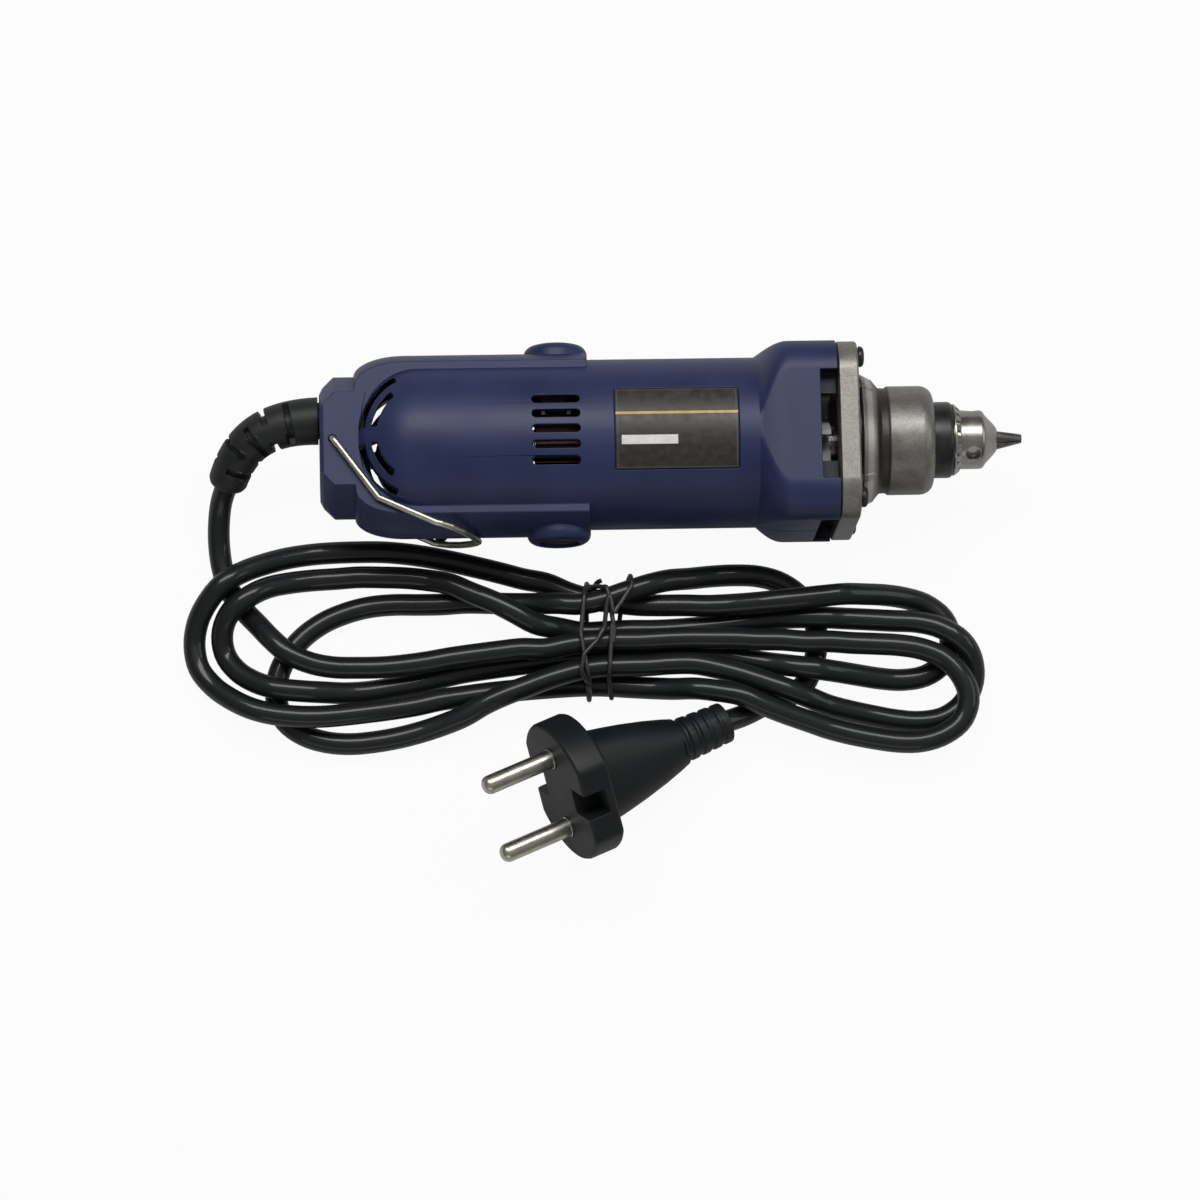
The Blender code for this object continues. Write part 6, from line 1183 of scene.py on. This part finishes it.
def cord_tie(path):
    """Slack turns of one wire round the bundle, crossing on top, with both ends turned out."""
    line = []
    for (first, x0, lift0), (last, x1, lift1) in zip(TIE_PLACES, TIE_PLACES[1:]):
        count = max(1, round((last - first) / 0.02))
        for k in range(count):
            t = k / count
            line.append(wrap_point(path, (x0 + (x1 - x0) * t) * MM, first + (last - first) * t,
                                   (lift0 + (lift1 - lift0) * t) * MM))
    line = [line[0] + Vector((1.6, 1.2, 0.8)) * MM, line[0] + Vector((0.5, 0.7, 0.3)) * MM] + line
    line += [line[-1] + Vector((-0.3, -0.9, -0.5)) * MM, line[-1] + Vector((0.4, -2.2, -0.9)) * MM]
    wire = tube(smooth(lifted(line, TIE_R), 0.5 * MM), TIE_R, 16)
    dress(wire, "tie_wire_turns", "tie_wire", "tool", "cord_tie", smooth_angle=60)


# ---- plug ----

PLUG_HEAD_R, PLUG_FLAT, PLUG_HEAD, PLUG_EDGE = mm(18.2, 15.5, 8.5, 1.06)


def plug_axes():
    """The face's middle, then the way the pins point, across, and up from the flats."""
    yaw, tilt = 204 * DEG, 13 * DEG
    flat = Vector((cos(yaw), sin(yaw), 0))
    ahead = flat * cos(tilt) + UP * sin(tilt)
    across = UP.cross(flat).normalized()
    up = ahead.cross(across).normalized()
    height = PLUG_HEAD_R * cos(tilt) + (PLUG_HEAD - PLUG_EDGE) * sin(tilt)
    roll = Matrix.Rotation(-32 * DEG, 3, ahead)
    return Vector((*mm(-29.9, -87.6), height)), ahead, roll @ across, roll @ up


PLUG_MIDDLE, PLUG_AHEAD, PLUG_ACROSS, PLUG_UP = plug_axes()


def on_plug(along, across=0.0, up=0.0):
    return PLUG_MIDDLE + PLUG_AHEAD * along + PLUG_ACROSS * across + PLUG_UP * up


def plug_oval(along, wide, high, power=2.4, sides=64):
    def reach(c, half):
        return copysign(abs(c) ** (2 / power), c) * half

    return [on_plug(along, reach(cos(a), wide), reach(sin(a), high)) for a in circle(sides)]


def plug_head():
    """Round head with two flats."""
    near, far, edge = 0, -PLUG_HEAD, PLUG_EDGE
    rings = []
    for along, inset in ((near, edge), (near - edge * 0.3, edge * 0.3), (near - edge, 0), (far + edge, 0),
                         (far + edge * 0.3, edge * 0.3), (far, edge)):
        flat, r = PLUG_FLAT - inset, PLUG_HEAD_R - inset
        rings.append([on_plug(along, r * cos(a), max(-flat, min(flat, r * sin(a))))
                      for a in circle(SIDES)])
    return loft(rings)


def plug_grip():
    length = 26 * MM
    back = PLUG_HEAD - PLUG_EDGE
    return loft([plug_oval(-back - (length + PLUG_EDGE) * share, wide * MM, high * MM) for share, wide, high in (
        (0.0, 12.8, 8.6), (0.07, 12.6, 8.5), (0.15, 12.0, 8.4), (0.3, 11.2, 8.1), (0.5, 10.0, 7.6),
        (0.72, 8.4, 7.0), (0.9, 6.9, 6.1), (1.0, 5.9, 5.6))])


def pin(name, side):
    """Round pin with the collar at its root."""
    tip, root, cap = mm(22, 2.4, 2.0)
    place = {"centre": on_plug(-2.7 * MM, side * PIN_PLACE), "direction": PLUG_AHEAD}
    profile = [(0, root)] + [(tip - cap + cap * sin(a), root - cap + cap * cos(a)) for a in quarter(8)]
    made = turned(profile, 48, **place)
    collar = mm((2.75, 2.3), (2.75, 2.65), (3.0, 2.65), (3.15, 2.5), (3.15, 2.3))
    join(made, turned(collar, 48, ring=True, **place))
    return dress(made, "pin_" + name, "nickel", "tool", "plug_pin_" + name)


def plug():
    start, length = PLUG_HEAD + 26 * MM - PLUG_EDGE, 13 * MM
    boot = loft([plug_oval(-start, 5.8 * MM, 5.8 * MM, 2),
                 plug_oval(-start - length - PLUG_EDGE, 5.2 * MM, 5.2 * MM, 2)])
    body = join(plug_head(), plug_grip(), boot)
    notches = []
    for side in (1, -1):
        corners = mm((-3.25, 8.0), (3.25, 8.0), (3.25, 20), (-3.25, 20))
        notches.append(loft([[on_plug(x, y, side * z) for y, z in corners] for x in (-PLUG_HEAD * 0.7, OVER)]))
        notches.append(rod(on_plug(-3 * MM, side * PIN_PLACE), on_plug(OVER, side * PIN_PLACE), 2.7 * MM))
    bm = bmesh.new()
    bm.edges.new([bm.verts.new(on_plug(-start - 1.7 * MM - length * share)) for share in (0, 0.75)])
    rings = THREADED.made_from(linked(bm), "plug_rubber", count=4, ring_radius=5.85 * MM, bar_radius=0.75 * MM,
                               shrink=0.02)
    cut(body, rings, *notches)
    dress(body, "plug_moulding", "plug_rubber", "tool", "plug_body", edge=0.2 * MM)
    return [body, pin("left", 1), pin("right", -1)]


# ---- inner parts keep their shapes and get their finishes ----

INNER = {
    "black_plastic": "air_baffle cord_inside cord_clamp",
    "brass": "brush_holder_left brush_holder_right",
    "spring_steel": "brush_spring_left brush_spring_right",
    "carbon": "carbon_brush_left carbon_brush_right",
    "lamination": "stator_core armature_core",
    "copper": "field_coil_upper field_coil_lower",
    "armature_copper": "armature_winding_rear armature_winding_front",
    "commutator_copper": "commutator",
    "bearing_steel": "armature_shaft front_bearing_outer_ring front_bearing_inner_ring rear_bearing_outer_ring"
                     " rear_bearing_inner_ring jaw_nut_upper jaw_nut_lower",
    "board": "control_board",
}


def inner_finishes():
    for finish, names in INNER.items():
        for name in names.split():
            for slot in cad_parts[name].material_slots:
                slot.material = FINISHES[finish]


# ---- table, lamps and camera ----

WHITE = (1, 1, 1, 1)
WHITE_SHARE = 0.95


def backdrop_seen(n, in_metal):
    """One where the camera sees the white backdrop, less where metal mirrors it, nothing for the light."""
    rays = n.node("ShaderNodeLightPath").outputs
    straight = n.number("MAXIMUM", rays["Is Camera Ray"], rays["Is Transmission Ray"])
    return n.number("MULTIPLY_ADD", rays["Is Glossy Ray"], in_metal, straight)


def table_top():
    bm = bmesh.new()
    bmesh.ops.create_grid(bm, x_segments=1, y_segments=1, size=4)
    top = linked(bm, "table_top")
    made = bpy.data.materials.new("table_white")
    made.use_nodes = True
    n = Nodes(made.node_tree)
    shader = n.tree.nodes["Principled BSDF"]
    shader.inputs["Base Color"].default_value = (0.5, 0.5, 0.5, 1)
    shader.inputs["Roughness"].default_value = 0.9
    glow = n.first("ShaderNodeEmission", {0: WHITE})
    share = n.number("MULTIPLY", backdrop_seen(n, 0.25), WHITE_SHARE)
    mix = n.first("ShaderNodeMixShader", {0: share, 1: shader.outputs[0], 2: glow})
    n.tree.links.new(mix, n.tree.nodes["Material Output"].inputs[0])
    top.data.materials.append(made)


def room():
    """A dim plain room, darker towards the horizon, and white where the camera sees it."""
    sky = bpy.data.worlds.new("room")
    bpy.context.scene.world = sky
    sky.use_nodes = True
    n = Nodes(sky.node_tree)
    back = n.tree.nodes["Background"].inputs
    back[0].default_value = WHITE
    split = n.node("ShaderNodeSeparateXYZ", {0: n.node("ShaderNodeTexCoord").outputs["Generated"]})
    rise = n.first("ShaderNodeMapRange", {"Value": split.outputs[2], "From Min": 0.1, "To Min": 0.10,
                                          "To Max": 0.34})
    n.tree.links.new(n.number("MAXIMUM", backdrop_seen(n, 0.15), rise), back[1])


def softbox(name, place, aim, wide, high, watts):
    data = bpy.data.lights.new(name, "AREA")
    data.shape = "RECTANGLE"
    data.size = wide
    data.size_y = high
    data.energy = watts
    lamp = bpy.data.objects.new(name, data)
    bpy.context.scene.collection.objects.link(lamp)
    lamp.location = place
    lamp.rotation_euler = (Vector(aim) - Vector(place)).to_track_quat("-Z", "Y").to_euler()


def lamps():
    softbox("key_box", (-0.05, 0.52, 1.1), (0, -0.03, 0.02), 1.2, 0.42, 12.6)
    softbox("fill_box", (-0.2, -1.1, 0.5), (0, -0.03, 0.02), 1.0, 0.4, 1.3)
    softbox("end_box", (0.95, 0.1, 0.6), (0.05, 0, 0.02), 0.7, 0.5, 2.0)


def camera():
    """At the photograph's viewing angle: 1.6 m away, 0.3 m wide at the target."""
    target = Vector((-18.9, -39.6, 22.8)) * MM
    back = Vector((-0.05, -0.18, 0.983)).normalized()
    distance, seen_width, sensor = 1.6, 0.3, 36
    data = bpy.data.cameras.new("camera")
    item = bpy.data.objects.new("camera", data)
    bpy.context.scene.collection.objects.link(item)
    data.sensor_width = sensor
    data.lens = sensor * distance / seen_width
    right = ACROSS.cross(back).normalized()
    roll = Matrix.Rotation(-1.4 * DEG, 3, back)
    turn = Matrix((roll @ right, roll @ back.cross(right).normalized(), back)).transposed().to_4x4()
    item.matrix_world = Matrix.Translation(target + back * distance) @ turn
    bpy.context.scene.camera = item


camera()
cord_tie(cord(plug()))
strain_relief()
bail()
housing()
screws()
brush_caps()
nose()
fan()
chuck()
jaws()
switch_and_dial()
inner_finishes()
table_top()
room()
lamps()
bpy.context.scene.view_settings.view_transform = "Standard"
